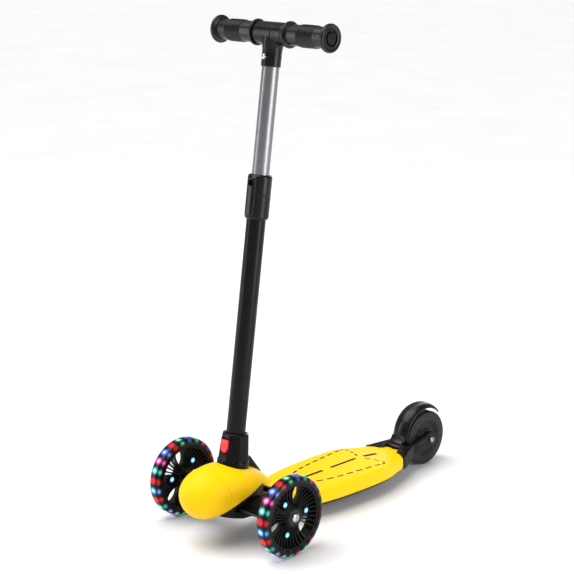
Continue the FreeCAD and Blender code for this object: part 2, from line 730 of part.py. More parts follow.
def hexagon_prism(across_flats, x0, x1, y, z):
    r = across_flats / math.sqrt(3)
    points = [V(x0, y + r * math.cos(math.radians(60 * k)), z + r * math.sin(math.radians(60 * k)))
              for k in range(6)]
    return polygon(points).extrude(V(x1 - x0, 0, 0))


def rear_axle_bolt():
    shank = rod(axle_r, V(-fork_outer_x - 8, rear_wheel_y, rear_wheel_r), V(fork_outer_x, rear_wheel_y, rear_wheel_r))
    return fuse_all(shank, hexagon_prism(axle_hex, fork_outer_x, fork_outer_x + axle_head_h, rear_wheel_y, rear_wheel_r))


def rear_axle_nut():
    nut = hexagon_prism(axle_hex, -fork_outer_x - 6.5, -fork_outer_x, rear_wheel_y, rear_wheel_r)
    return nut.cut(rod(axle_r, V(-60, rear_wheel_y, rear_wheel_r), V(60, rear_wheel_y, rear_wheel_r)))


def around_fender(face):
    """Carry a section that stands at the fender's rear end round to its front end."""
    return face.revolve(V(0, fender_y, fender_z), X_AXIS, fender_front_deg - fender_rear_deg)


def fender_point(x, radius):
    a = math.radians(fender_rear_deg)
    return V(x, fender_y + radius * math.cos(a), fender_z + radius * math.sin(a))


def rear_fender():
    """Crowned foot brake with rolled side lips; two knuckles at its front turn on the hinge pin."""
    w = fender_half_w
    edge_r = fender_r - fender_crown
    outer = Part.Arc(fender_point(-w, edge_r), fender_point(0, fender_r), fender_point(w, edge_r))
    inner_r = fender_r - fender_wall
    inner_edge_r = inner_r - fender_crown + 0.6
    in_w = w - fender_wall
    inner = Part.Arc(fender_point(-in_w, inner_edge_r), fender_point(0, inner_r), fender_point(in_w, inner_edge_r))
    lip = fender_r - fender_lip
    loop = [
        outer.toShape(),
        Part.makeLine(fender_point(w, edge_r), fender_point(w, lip)),
        Part.makeLine(fender_point(w, lip), fender_point(in_w, lip)),
        Part.makeLine(fender_point(in_w, lip), fender_point(in_w, inner_edge_r)),
        inner.toShape(),
        Part.makeLine(fender_point(-in_w, inner_edge_r), fender_point(-in_w, lip)),
        Part.makeLine(fender_point(-in_w, lip), fender_point(-w, lip)),
        Part.makeLine(fender_point(-w, lip), fender_point(-w, edge_r)),
    ]
    hood = around_fender(Part.Face(Part.Wire(Part.__sortEdges__(loop))))
    lugs = []
    for x0 in (-12.7, 7.0):
        barrel = rod(fender_knuckle_r, V(x0, hinge_y, hinge_z), V(x0 + 5.7, hinge_y, hinge_z))
        web_face = polygon([V(x0, hinge_y - 2.5, hinge_z + 3.5), V(x0, hinge_y + 3.5, hinge_z - 2.5),
                            V(x0, fender_y - fender_r + 2.4, fender_z - 6), V(x0, fender_y - fender_r + 1.6, fender_z + 2)])
        lugs.append(barrel)
        lugs.append(web_face.extrude(V(5.7, 0, 0)))
    solid = fuse_all(hood, *lugs)
    pin_way = rod(hinge_pin_r + running_gap, V(-60, hinge_y, hinge_z), V(60, hinge_y, hinge_z))
    return solid.cut(pin_way)


def brake_shoe():
    """Steel shoe under the fender that rubs on the tyre when the brake is pressed."""
    inner_r = fender_r - fender_wall - 1.75
    face = polygon([fender_point(-8, inner_r), fender_point(8, inner_r), fender_point(8, inner_r - 1.6),
                    fender_point(-8, inner_r - 1.6)])
    arc = face.revolve(V(0, fender_y, fender_z), X_AXIS, 45)
    return spun(arc, 8, V(0, fender_y, fender_z))


def brake_spring():
    coil = pipe(3.8, hinge_pin_r, V(-6.5, hinge_y, hinge_z), V(6.5, hinge_y, hinge_z))
    leg = box(-6.5, -5.0, hinge_y - 3.7, hinge_y - 2.6, 37.7, hinge_z)
    return fuse_all(coil, leg.cut(rod(hinge_pin_r, V(-9, hinge_y, hinge_z), V(9, hinge_y, hinge_z))))


# ---- write every piece -----------------------------------------------------

front_wheel("left", 1)
front_wheel("right", -1)
save("left_knuckle", knuckle())
save("right_knuckle", mirrored(knuckle()))
save("left_axle_bolt", axle_bolt())
save("right_axle_bolt", mirrored(axle_bolt()))
save("tie_rod", tie_rod())
save("front_carrier", front_carrier())
save("kingpins", *kingpins())
save("lean_bolt", lean_bolt())
save("lean_nut", lean_nut())
save("lean_bumpers", *[rod(6, V(x, -2, 64), V(x, -2, 80.3)) for x in (-22, 22)])
save("carrier_screws", *[rod(2.5, V(x, y, 17.5), V(x, y, 36)) for x in (-12, 12) for y in (92, 108)])

save("steering_head", steering_head())
save("front_cover", front_cover())
save("release_button", release_button())
save("release_spring", release_leaf())

save("lower_tube", lower_tube())
save("height_collar", height_collar())
save("stem_foot_plug", rod(upper_tube_r, stem_point(-socket_depth + 1), stem_point(-socket_depth + 9)))
save("upper_tube", upper_tube())
save("upper_tube_foot", rod(upper_tube_r - 1.2, stem_point(224), stem_point(238)))
save("height_pin", height_pin())
save("height_pin_spring", height_leaf())
save("tee_piece", tee_piece())
save("tee_screw", tee_screw())
save("bar_tube", bar_tube())
save("left_grip", grip(1))
save("right_grip", grip(-1))
save("left_grip_plug", grip_plug(1))
save("right_grip_plug", grip_plug(-1))

base = deck_base()
cover, inlays = deck_cover_and_inlays(base)
save("deck_base", base)
save("deck_cover", cover)
save("deck_inlays", *inlays)

rear_wheel()
save("rear_axle_bolt", rear_axle_bolt())
save("rear_axle_nut", rear_axle_nut())
save("rear_fender", rear_fender())
save("brake_shoe", brake_shoe())
save("brake_pin", rod(hinge_pin_r, V(-17, hinge_y, hinge_z), V(17, hinge_y, hinge_z)))
save("brake_spring", brake_spring())
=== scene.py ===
"""A child's three-wheeled kick scooter that steers by leaning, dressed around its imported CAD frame."""
import math
from collections import namedtuple

import bmesh
import bpy
import numpy as np
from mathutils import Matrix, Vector


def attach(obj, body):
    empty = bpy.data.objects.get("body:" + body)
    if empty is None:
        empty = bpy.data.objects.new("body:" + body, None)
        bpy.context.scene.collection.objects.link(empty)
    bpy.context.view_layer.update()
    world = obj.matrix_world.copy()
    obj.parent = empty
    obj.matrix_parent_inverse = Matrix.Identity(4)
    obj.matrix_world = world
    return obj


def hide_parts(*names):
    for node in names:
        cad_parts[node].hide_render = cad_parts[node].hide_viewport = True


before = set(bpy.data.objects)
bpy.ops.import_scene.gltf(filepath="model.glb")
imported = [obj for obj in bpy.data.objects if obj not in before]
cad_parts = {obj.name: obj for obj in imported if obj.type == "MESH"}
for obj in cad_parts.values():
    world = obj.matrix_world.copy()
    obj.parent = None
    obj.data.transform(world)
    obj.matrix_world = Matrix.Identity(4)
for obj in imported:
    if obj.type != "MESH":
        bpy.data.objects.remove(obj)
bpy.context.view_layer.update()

# Lengths below are millimetres in the maker's own frame: x across, y back from the front axle,
# z up from the floor.  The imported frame's y starts at the middle of the scooter instead.
MM = 0.001
FRAME_Y = 186.0
SIDES = (("left", 1), ("right", -1))

# ---- points, grids and pieces ----------------------------------------------

Skin = namedtuple("Skin", "grid join_rows join_cols caps", defaults=(False, False, False))


def unit(vector):
    """A vector of length 1 in the same direction."""
    vector = np.asarray(vector, float)
    return vector / np.linalg.norm(vector)


def in_frame(points):
    """Millimetres in the maker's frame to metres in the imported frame."""
    return (np.asarray(points, float) - (0.0, FRAME_Y, 0.0)) * MM


def smooth_step(low, high, value):
    """0 below low, 1 above high, and the cubic 3t^2 - 2t^3 between."""
    t = np.clip((value - low) / (high - low), 0.0, 1.0)
    return t * t * (3.0 - 2.0 * t)


def bump(distance, reach):
    """A bell curve: exp of minus the squared share of the reach."""
    return np.exp(-((distance / reach) ** 2))


def through(table, at):
    """A smooth curve through a table's rows: cubic pieces whose slopes are the mean of their neighbours'."""
    table = np.asarray(table, float)
    x, y = table[:, 0], table[:, 1:]
    slope = np.gradient(y, x, axis=0)
    at = np.clip(np.asarray(at, float), x[0], x[-1])
    k = np.clip(np.searchsorted(x, at, side="right") - 1, 0, len(x) - 2)
    step = x[k + 1] - x[k]
    t = ((at - x[k]) / step)[..., None]
    step = step[..., None]
    value = (y[k] * (1 + 2 * t) * (1 - t) ** 2 + slope[k] * step * t * (1 - t) ** 2
             + y[k + 1] * t * t * (3 - 2 * t) + slope[k + 1] * step * t * t * (t - 1))
    return np.moveaxis(value, -1, 0) if y.shape[1] > 1 else value[..., 0]


def softened(corners, reach, closed=True, steps=5):
    """Straight runs whose corners become parabolas: each starts and ends `reach` from its corner, at most
    nine twentieths of a run away."""
    p = np.asarray(corners, float)
    before, after = np.roll(p, 1, axis=0) - p, np.roll(p, -1, axis=0) - p
    if not closed:
        before[0], after[-1] = 0.0, 0.0
    back, on = np.linalg.norm(before, axis=1), np.linalg.norm(after, axis=1)
    cut = np.minimum(np.minimum(np.broadcast_to(reach, len(p)), 0.45 * back), 0.45 * on)[:, None]
    start = p + before * cut / np.maximum(back, 1e-9)[:, None]
    end = p + after * cut / np.maximum(on, 1e-9)[:, None]
    t = np.linspace(0, 1, steps)[None, :, None]
    curve = (1 - t) ** 2 * start[:, None] + 2 * t * (1 - t) * p[:, None] + t * t * end[:, None]
    if closed:
        return curve.reshape(-1, p.shape[1])
    return np.concatenate([p[:1], curve[1:-1].reshape(-1, p.shape[1]), p[-1:]])


def turned(profile, centre, axis=(1, 0, 0), up=(0, 0, 1), turns=96, ring=True):
    """A profile of (along, radius) carried round an axis: centre + along*axis + radius*(cos*up + sin*side)."""
    axis, up = unit(axis), unit(up)
    side = np.cross(axis, up)
    angle = np.linspace(0, 2 * np.pi, turns, endpoint=False)[:, None, None]
    along, radius = (np.asarray(profile, float).T)[:, None, :, None]
    grid = np.asarray(centre, float) + along * axis + radius * (np.cos(angle) * up + np.sin(angle) * side)
    return Skin(grid, True, ring)


def slab(outline, low, high, edge, onto, steps=4):
    """A closed outline (u, v) carried from w = low to w = high, its rims rounded by a quarter circle:
    the outline is drawn in by edge*(1 - sin) while w moves by edge*(1 - cos)."""
    p = np.asarray(outline, float)
    ahead, behind = np.roll(p, -1, axis=0) - p, p - np.roll(p, 1, axis=0)
    turn = np.sign(np.sum(p[:, 0] * np.roll(p[:, 1], -1) - np.roll(p[:, 0], -1) * p[:, 1]))
    run = ahead / np.maximum(np.linalg.norm(ahead, axis=1), 1e-9)[:, None]
    run = run + behind / np.maximum(np.linalg.norm(behind, axis=1), 1e-9)[:, None]
    inward = np.stack([-run[:, 1], run[:, 0]], axis=1) * turn
    inward /= np.maximum(np.linalg.norm(inward, axis=1), 1e-9)[:, None]
    a = np.linspace(0, np.pi / 2, steps)
    drawn = np.concatenate([edge * (1 - np.sin(a)), edge * (1 - np.sin(a))[::-1]])
    w = np.concatenate([low + edge * (1 - np.cos(a)), (high - edge * (1 - np.cos(a)))[::-1]])
    uv = p[None] + inward[None] * drawn[:, None, None]
    return Skin(onto(uv[..., 0], uv[..., 1], np.broadcast_to(w[:, None], uv.shape[:2])), False, True, True)


def across(u, v, w):
    """An outline in y and z, carried along x."""
    return np.stack([w, u, v], axis=-1)


def upright(u, v, w):
    """An outline in x and z, carried along y."""
    return np.stack([u, w, v], axis=-1)


def turned_about_x(points, turn_deg):
    """Points turned by an angle round the x axis."""
    c, s = math.cos(math.radians(turn_deg)), math.sin(math.radians(turn_deg))
    return points @ np.array([[1, 0, 0], [0, c, -s], [0, s, c]], float).T


def moved(skins, place):
    """Each skin with its points carried by place."""
    return [skin._replace(grid=place(skin.grid)) for skin in skins]


def quads(rows, cols, join_rows, join_cols):
    """Each point with its next neighbours along both directions; a joined direction closes on itself."""
    i, j = np.meshgrid(np.arange(rows - (not join_rows)), np.arange(cols - (not join_cols)), indexing="ij")
    i, j = i.ravel(), j.ravel()
    i2, j2 = (i + 1) % rows, (j + 1) % cols
    return np.stack([i * cols + j, i2 * cols + j, i2 * cols + j2, i * cols + j2], axis=1)


def linked(name, data):
    """A new object in the scene."""
    thing = bpy.data.objects.new(name, data)
    bpy.context.scene.collection.objects.link(thing)
    return thing


def finish_mesh(mesh, merge=1e-6, flat_deg=0.0):
    """Equal points are merged and every face is turned outward; with flat_deg, coplanar triangles join."""
    bm = bmesh.new()
    bm.from_mesh(mesh)
    bmesh.ops.remove_doubles(bm, verts=bm.verts, dist=merge)
    bmesh.ops.dissolve_degenerate(bm, edges=bm.edges, dist=merge)
    if flat_deg:
        bmesh.ops.dissolve_limit(bm, angle_limit=math.radians(flat_deg), verts=bm.verts, edges=bm.edges)
    bmesh.ops.recalc_face_normals(bm, faces=bm.faces)
    bm.to_mesh(mesh)
    bm.free()


def settle(piece, body, finish, slot, stands_for, sharp_deg, edge=0.0, edge_deg=32.0):
    """Gives a finished mesh its material, smooth shading with sharp corners, and its body."""
    mesh = piece.data
    mesh.materials.clear()
    mesh.materials.append(finish)
    mesh.shade_smooth()
    if edge:
        bevel = piece.modifiers.new("rounded edges", "BEVEL")
        bevel.width, bevel.segments = edge * MM, 2
        bevel.limit_method, bevel.angle_limit = "ANGLE", math.radians(edge_deg)
        bevel.use_clamp_overlap = True
    else:
        mesh.set_sharp_from_angle(angle=math.radians(sharp_deg))
    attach(piece, body)
    if stands_for:
        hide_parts(*stands_for)
    return piece


def make(name, skins, body, finish, slot, stands_for=(), wall=0.0, sharp=42.0):
    """One piece from grids of points.  With a wall, an open skin is thickened inward by it."""
    points, faces, start = [], [], 0
    for skin in skins:
        rows, cols = skin.grid.shape[:2]
        points.append(skin.grid.reshape(-1, 3))
        faces += (quads(rows, cols, skin.join_rows, skin.join_cols) + start).tolist()
        if skin.caps:
            first = np.arange(cols) + start
            faces += [first[::-1].tolist(), (first + (rows - 1) * cols).tolist()]
        start += rows * cols
    mesh = bpy.data.meshes.new(name)
    mesh.from_pydata(in_frame(np.concatenate(points)).tolist(), [], faces)
    finish_mesh(mesh)
    piece = linked(name, mesh)
    if wall:
        face_away(mesh)
        thick = piece.modifiers.new("wall", "SOLIDIFY")
        thick.thickness, thick.offset, thick.use_even_offset = wall * MM, -1.0, True
    return settle(piece, body, finish, slot, stands_for, sharp)


def face_away(mesh):
    """Turns an open skin over if its faces look towards the middle of its points."""
    count = len(mesh.polygons)
    centres, normals, areas = np.zeros(count * 3), np.zeros(count * 3), np.zeros(count)
    mesh.polygons.foreach_get("center", centres)
    mesh.polygons.foreach_get("normal", normals)
    mesh.polygons.foreach_get("area", areas)
    centres, normals = centres.reshape(-1, 3), normals.reshape(-1, 3)
    middle = centres.mean(axis=0)
    if np.sum(areas * np.sum((centres - middle) * normals, axis=1)) < 0:
        mesh.flip_normals()
        mesh.update()


def dressed(node, body, finish, slot, edge=0.6):
    """A CAD node copied, its loose triangles merged into flat faces, and its corners rounded."""
    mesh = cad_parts[node].data.copy()
    mesh.name = node + "_shape"
    piece = linked(node + "_shape", mesh)
    finish_mesh(mesh, merge=2e-6, flat_deg=0.5)
    return settle(piece, body, finish, slot, (node,), 30.0, edge)


# ---- the raked stem --------------------------------------------------------

RAKE = math.radians(8.0)
ALONG = np.array([0.0, math.sin(RAKE), math.cos(RAKE)])
AHEAD = np.array([0.0, -math.cos(RAKE), math.sin(RAKE)])
BESIDE = np.array([1.0, 0.0, 0.0])
SOCKET_MOUTH = np.array([0.0, 3.3, 156.9])


def on_stem(s, ahead=0.0, x=0.0):
    """The socket's mouth + s*along + ahead*forward + x*sideways, for whole arrays."""
    s, ahead, x = (np.asarray(v, float)[..., None] for v in np.broadcast_arrays(s, ahead, x))
    return SOCKET_MOUTH + s * ALONG + ahead * AHEAD + x * BESIDE


def stem_ring(s0, s1, radius, bore, reach=0.8, turns=96):
    """A tube on the stem's axis with softened rims."""
    profile = softened([(s0, bore), (s0, radius), (s1, radius), (s1, bore)], reach)
    return turned(profile, SOCKET_MOUTH, ALONG, AHEAD, turns)


# ---- materials -------------------------------------------------------------


class Finish:
    """A material under construction: its tree, its shader and the piece's own coordinates."""

    def __init__(self, name, colour, roughness, metallic=0.0, **sockets):
        self.material = bpy.data.materials.new(name)
        self.material.use_nodes = True
        self.tree = self.material.node_tree
        self.shader = self.tree.nodes["Principled BSDF"]
        self.set(self.shader, {"Base Color": (*colour, 1.0), "Roughness": roughness, "Metallic": metallic})
        self.set(self.shader, {key.replace("_", " "): value for key, value in sockets.items()})
        self.place = self.add("ShaderNodeTexCoord").outputs["Object"]

    def set(self, node, values):
        for key, value in values.items():
            if isinstance(value, bpy.types.NodeSocket):
                self.tree.links.new(value, node.inputs[key])
            else:
                node.inputs[key].default_value = value

    def add(self, kind, values=None, **properties):
        node = self.tree.nodes.new(kind)
        for key, value in properties.items():
            setattr(node, key, value)
        self.set(node, values or {})
        return node

    def stretched(self, scale, turn=(0.0, 0.0, 0.0)):
        node = self.add("ShaderNodeMapping", {"Vector": self.place, "Rotation": turn, "Scale": scale})
        return node.outputs["Vector"]

    def noise(self, size_mm, detail=3.0, place=None):
        """Cloudy noise whose lumps are about size_mm across."""
        node = self.add("ShaderNodeTexNoise", {"Vector": place or self.place, "Scale": 1000.0 / size_mm,
                                               "Detail": detail})
        return node.outputs["Fac"]

    def spread(self, value, low, high):
        """Carries 0.3..0.7 of a noise to low..high."""
        node = self.add("ShaderNodeMapRange", {"Value": value, "From Min": 0.3, "From Max": 0.7,
                                               "To Min": low,
                                               "To Max": high})
        return node.outputs["Result"]

    def blend(self, share, first, second):
        node = self.add("ShaderNodeMix", data_type="RGBA")
        node.inputs["Factor"].default_value = 0.0
        self.tree.links.new(share, node.inputs["Factor"])
        for index, value in ((6, first), (7, second)):
            if isinstance(value, bpy.types.NodeSocket):
                self.tree.links.new(value, node.inputs[index])
            else:
                node.inputs[index].default_value = (*value, 1.0)
        return node.outputs[2]

    def relief(self, height, depth_mm, strength, under=None):
        """Bump from a height, on top of another bump if one is given."""
        values = {"Height": height, "Distance": depth_mm * MM, "Strength": strength}
        if under is not None:
            values["Normal"] = under
        return self.add("ShaderNodeBump", values).outputs["Normal"]

    def wear(self, first, second, patch_mm, rough_low, rough_high):
        """Slow changes of colour and gloss over the surface."""
        cloud = self.noise(patch_mm)
        self.set(self.shader, {"Base Color": self.blend(self.spread(cloud, 0.0, 1.0), first, second),
                               "Roughness": self.spread(self.noise(patch_mm * 0.4), rough_low, rough_high)})


def worn(name, colour, rough, specular, first, second, patch_mm, rough_low, rough_high, *grains):
    """Plastic, rubber or paint: slow changes of colour and gloss, over noise relief.  Each grain is its size in
    mm, its detail, its depth in mm and its strength, the lowest grain first."""
    f = Finish(name, colour, rough, Specular_IOR_Level=specular)
    f.wear(first, second, patch_mm, rough_low, rough_high)
    relief = None
    for size_mm, detail, depth_mm, strength in grains:
        relief = f.relief(f.noise(size_mm, detail), depth_mm, strength, relief)
    f.set(f.shader, {"Normal": relief})
    return f.material


def moulded_black(name="moulded black", tone=0.008, rough=0.42):
    """Black moulded plastic with a fine leathery grain."""
    f = Finish(name, (tone, tone, tone), rough, Specular_IOR_Level=0.13)
    f.wear((tone, tone * 0.94, tone * 0.97), (tone * 1.35, tone * 1.25, tone * 1.3), 25.0,
           rough - 0.05, rough + 0.07)
    cells = f.add("ShaderNodeTexVoronoi", {"Vector": f.place, "Scale": 1000.0 / 0.8}).outputs["Distance"]
    f.set(f.shader, {"Normal": f.relief(f.noise(0.5, 2.0), 0.04, 0.3, f.relief(cells, 0.05, 0.25))})
    return f.material


def drawn_silver():
    """Satin anodised tube with fine lines drawn along it."""
    f = Finish("drawn silver tube", (0.25, 0.255, 0.265), 0.36, 1.0)
    lines = f.stretched((1.0, 1.0, 0.012), (-RAKE, 0.0, 0.0))
    streak = f.noise(0.45, 3.0, lines)
    colour = f.blend(f.spread(streak, 0.0, 1.0), (0.22, 0.225, 0.235), (0.28, 0.285, 0.295))
    f.set(f.shader, {"Base Color": colour,
                     "Roughness": f.spread(f.noise(1.2, 2.0, lines), 0.32, 0.42),
                     "Normal": f.relief(streak, 0.01, 0.2)})
    return f.material


def bright_metal(name, colour, rough=0.24):
    """Plated fastener: fine noise relief and small scuffs."""
    f = Finish(name, colour, rough, 1.0)
    scuff = f.noise(1.5, 4.0)
    f.set(f.shader, {"Base Color": f.blend(f.spread(scuff, 0.0, 1.0), tuple(0.86 * c for c in colour),
                                           colour),
                     "Roughness": f.spread(f.noise(0.8, 3.0), rough - 0.06, rough + 0.12),
                     "Normal": f.relief(f.noise(0.3, 2.0), 0.01, 0.25)})
    return f.material


def glowing(name, dark, rough, glow, coat=0.0):
    """Clear urethane or lens that glows by the piece's own painted light."""
    f = Finish(name, dark, rough, Specular_IOR_Level=0.22, Coat_Weight=coat, Coat_Roughness=0.06,
               Emission_Strength=glow)
    light = f.add("ShaderNodeAttribute", attribute_name="light").outputs["Color"]
    f.set(f.shader, {"Emission Color": light, "Roughness": f.spread(f.noise(4.0, 3.0), rough - 0.04,
                                                                    rough + 0.08),
                     "Normal": f.relief(f.noise(2.5, 2.0), 0.08, 0.12)})
    return f.material


# bright yellow shell: spark-eroded grain under a soft gloss
YELLOW = worn("moulded yellow", (1.0, 0.61, 0.0), 0.4, 0.16, (1.0, 0.595, 0.0), (1.0, 0.625, 0.0),
              60.0, 0.42, 0.5, (0.9, 2.0, 0.05, 0.35), (35.0, 1.0, 0.5, 0.05))
BLACK = moulded_black()
HUB_GREY = moulded_black("moulded hub black", 0.006, 0.34)
DISC_GREY = moulded_black("moulded disc grey", 0.017, 0.42)
HEAD_BLACK = moulded_black("moulded head black", 0.004, 0.26)
INLAY = moulded_black("inlay black", 0.004, 0.6)
# gloss black with faint flow marks, and satin powder coat with its slight orange peel
GLOSS = worn("polished black", (0.004, 0.0035, 0.0045), 0.26, 0.24, (0.0035, 0.003, 0.004),
             (0.006, 0.0055, 0.0065), 18.0, 0.22, 0.3, (9.0, 2.0, 0.25, 0.06))
TUBE_BLACK = worn("satin powder coat", (0.0035, 0.003, 0.004), 0.3, 0.16, (0.004, 0.0038, 0.0045),
                  (0.007, 0.0065, 0.0075), 40.0, 0.27, 0.35, (1.6, 2.0, 0.06, 0.18), (0.35, 1.0, 0.01, 0.15))
SILVER = drawn_silver()
STEEL = bright_metal("bright steel", (0.62, 0.62, 0.63))
DARK_STEEL = bright_metal("blackened steel", (0.06, 0.06, 0.065), 0.36)
ZINC = bright_metal("yellow zinc", (0.40, 0.35, 0.24), 0.34)
# soft grip rubber, and cast urethane with faint road dust on it
RUBBER = worn("grip rubber", (0.004, 0.0038, 0.004), 0.3, 0.42, (0.0035, 0.0032, 0.0035),
              (0.006, 0.0055, 0.006), 12.0, 0.27, 0.38, (0.6, 2.0, 0.04, 0.3))
REAR_TYRE = worn("cast urethane", (0.012, 0.011, 0.012), 0.4, 0.22, (0.010, 0.0095, 0.010),
                 (0.022, 0.020, 0.021), 8.0, 0.32, 0.46, (0.7, 3.0, 0.05, 0.3))
RED = worn("button red", (0.78, 0.012, 0.018), 0.26, 0.55, (0.74, 0.008, 0.014), (0.86, 0.02, 0.022),
           6.0, 0.22, 0.34, (0.5, 2.0, 0.03, 0.25))
SMOKY = glowing("smoky light-up tyre", (0.0015, 0.0015, 0.002), 0.24, 1.2)
LAMP = glowing("hub lamp lens", (0.02, 0.05, 0.08), 0.1, 1.6, 0.3)

# ---- front wheels ----------------------------------------------------------

AXLE_Z = 60.0
WHEEL_X = 114.0
TYRE_R, RIM_R, BOSS_R, TYRE_HALF = 60.0, 50.0, 15.0, 10.5
WINDOWS = (75.0, 195.0, 315.0)       # the three open windows of the hub, anticlockwise from straight back
WINDOW_HALF = 13.0
FINS_PER_SECTOR, FIN_END = 10, 47.0
LAMP_AFTER_WINDOW = 50.0
LAMP_R, LAMP_RING = 4.0, 27.0

# the tyre's spots in order round it: colour, and how white its middle is
SPOT_START, SPOT_COUNT = 98.0, 24
# the rows: middle, half width and half length in mm along the section, strength, and share of the white core
SPOT_ROWS = ((0.2, 5.6, 5.0, 1.25, 1.0), (12.4, 4.1, 4.4, 0.6, 0.25))
CORE_WHITE = (0.95, 1.0, 1.0)
SPOTS = [((0.0, 0.42, 0.16), 0.9), ((0.85, 0.005, 0.02), 0.0), ((0.03, 0.12, 0.85), 0.9),
         ((0.85, 0.01, 0.42), 0.9), ((0.0, 0.5, 0.42), 1.0), ((0.85, 0.005, 0.02), 0.0),
         ((0.01, 0.35, 0.85), 0.9), ((0.85, 0.005, 0.02), 0.0), ((0.0, 0.45, 0.38), 0.35),
         ((0.22, 0.22, 0.6), 1.0), ((0.3, 0.35, 0.6), 1.0), ((0.0, 0.45, 0.2), 0.8),
         ((0.75, 0.05, 0.12), 0.3), ((0.0, 0.42, 0.22), 0.8), ((0.8, 0.05, 0.3), 0.8),
         ((0.03, 0.16, 0.8), 0.8), ((0.85, 0.005, 0.02), 0.1), ((0.8, 0.01, 0.03), 0.0),
         ((0.0, 0.4, 0.12), 0.1), ((0.7, 0.14, 0.02), 0.0), ((0.09, 0.02, 0.5), 0.1),
         ((0.75, 0.01, 0.32), 0.1), ((0.0, 0.45, 0.24), 0.1), ((0.03, 0.09, 0.6), 0.1)]


def paint_light(piece, colour_at):
    """Stores a colour at every point of the mesh, worked out from its place in millimetres."""
    mesh = piece.data
    flat = np.zeros(len(mesh.vertices) * 3)
    mesh.vertices.foreach_get("co", flat)
    points = flat.reshape(-1, 3) / MM + (0.0, FRAME_Y, 0.0)
    colour = np.concatenate([colour_at(points), np.ones((len(points), 1))], axis=1)
    layer = mesh.attributes.new("light", "FLOAT_COLOR", "POINT")
    layer.data.foreach_set("color", colour.astype(np.float32).ravel())


def tyre_light(centre_x):
    """Two rows of soft-edged spots, one round the tread and one round the +x shoulder and side.  A spot's
    strength is exp(-d^4), d being the distance from its middle as a share of its half length and half width;
    a whiter core of half that size is added."""
    colours = np.array([c for c, _ in SPOTS])
    white = np.array([w for _, w in SPOTS])
    angles = SPOT_START + np.arange(SPOT_COUNT) * 360.0 / SPOT_COUNT

    def colour_at(points):
        x, y, z = points[:, 0] - centre_x, points[:, 1], points[:, 2] - AXLE_Z
        angle = np.degrees(np.arctan2(z, y))[:, None]
        arc = (angle - angles + 180.0) % 360.0 - 180.0
        arc = np.radians(arc) * TYRE_R
        round_edge = x + (TYRE_R - np.hypot(y, z))
        total = np.zeros((len(points), 3))
        for row, half_row, half_arc, strength, core in SPOT_ROWS:
            wobble = 0.7 * np.sin(angles * 0.35 + row)
            skew = 0.05 * (angles % 7.0) * np.sign(row - 5.0)
            d2 = ((round_edge[:, None] - row - wobble) / half_row) ** 2 + ((arc - skew) / half_arc) ** 2
            spot = np.exp(-d2 ** 2)
            total += (spot * strength) @ colours
            middle = (np.exp(-d2 / 0.26) * white * core).sum(axis=1) * 0.9
            total += middle[:, None] * np.array(CORE_WHITE)
        return total

    return colour_at


def hub_half_width(radius):
    """The fins are dished: half their width at a radius falls by a sine from the boss and the rim to the middle."""
    return 9.0 - 5.6 * np.sin(np.pi * (radius - BOSS_R) / (FIN_END - BOSS_R))


def fin(angle):
    """A thin radial blade: at each radius a rounded box of the dished width, a little thicker at the rim."""
    radius = np.linspace(BOSS_R - 1.5, FIN_END, 15)[:, None]
    corner = softened([(-1, -1), (1, -1), (1, 1), (-1, 1)], 0.35, steps=3)
    x = corner[:, 0][None] * hub_half_width(np.clip(radius, BOSS_R, FIN_END))
    thick = corner[:, 1][None] * (0.75 + 0.5 * (radius - BOSS_R) / 30.0)
    grid = np.stack([x, np.broadcast_to(radius, x.shape), thick], axis=-1)
    return Skin(turned_about_x(grid, angle), False, True, True)


def hub_skins():
    """Rim, boss, thin fins between three open windows, and three pods for the lamps."""
    origin = (0, 0, 0)
    rim = softened([(-9.8, 47.0), (-9.2, RIM_R), (9.2, RIM_R), (9.8, 47.0), (8.2, 45.4), (-8.2, 45.4)], 1.2)
    boss = softened([(-10, 11.1), (-10, 13.4), (-8.2, BOSS_R), (8.2, BOSS_R), (10, 13.4), (10, 11.1)], 1.0)
    skins = [turned(rim, origin, turns=128), turned(boss, origin, turns=72)]
    pitch = (120.0 - 2 * WINDOW_HALF) / FINS_PER_SECTOR
    for window in WINDOWS:
        for k in range(FINS_PER_SECTOR + 1):
            skins.append(fin(window + WINDOW_HALF + k * pitch))
        pod = softened([(-6.2, LAMP_R), (-6.2, 5.2), (-4, 6.0), (4, 6.0), (6.2, 5.2), (6.2, LAMP_R)], 0.8)
        a = math.radians(window + LAMP_AFTER_WINDOW)
        skins.append(turned(pod, (0, LAMP_RING * math.cos(a), LAMP_RING * math.sin(a)), turns=32))
    return skins


def lamp_centres():
    """The three lamps, each a fixed angle on from its window."""
    angle = np.radians(np.array(WINDOWS) + LAMP_AFTER_WINDOW)
    return np.stack([np.zeros(3), LAMP_RING * np.cos(angle), LAMP_RING * np.sin(angle)], axis=1)


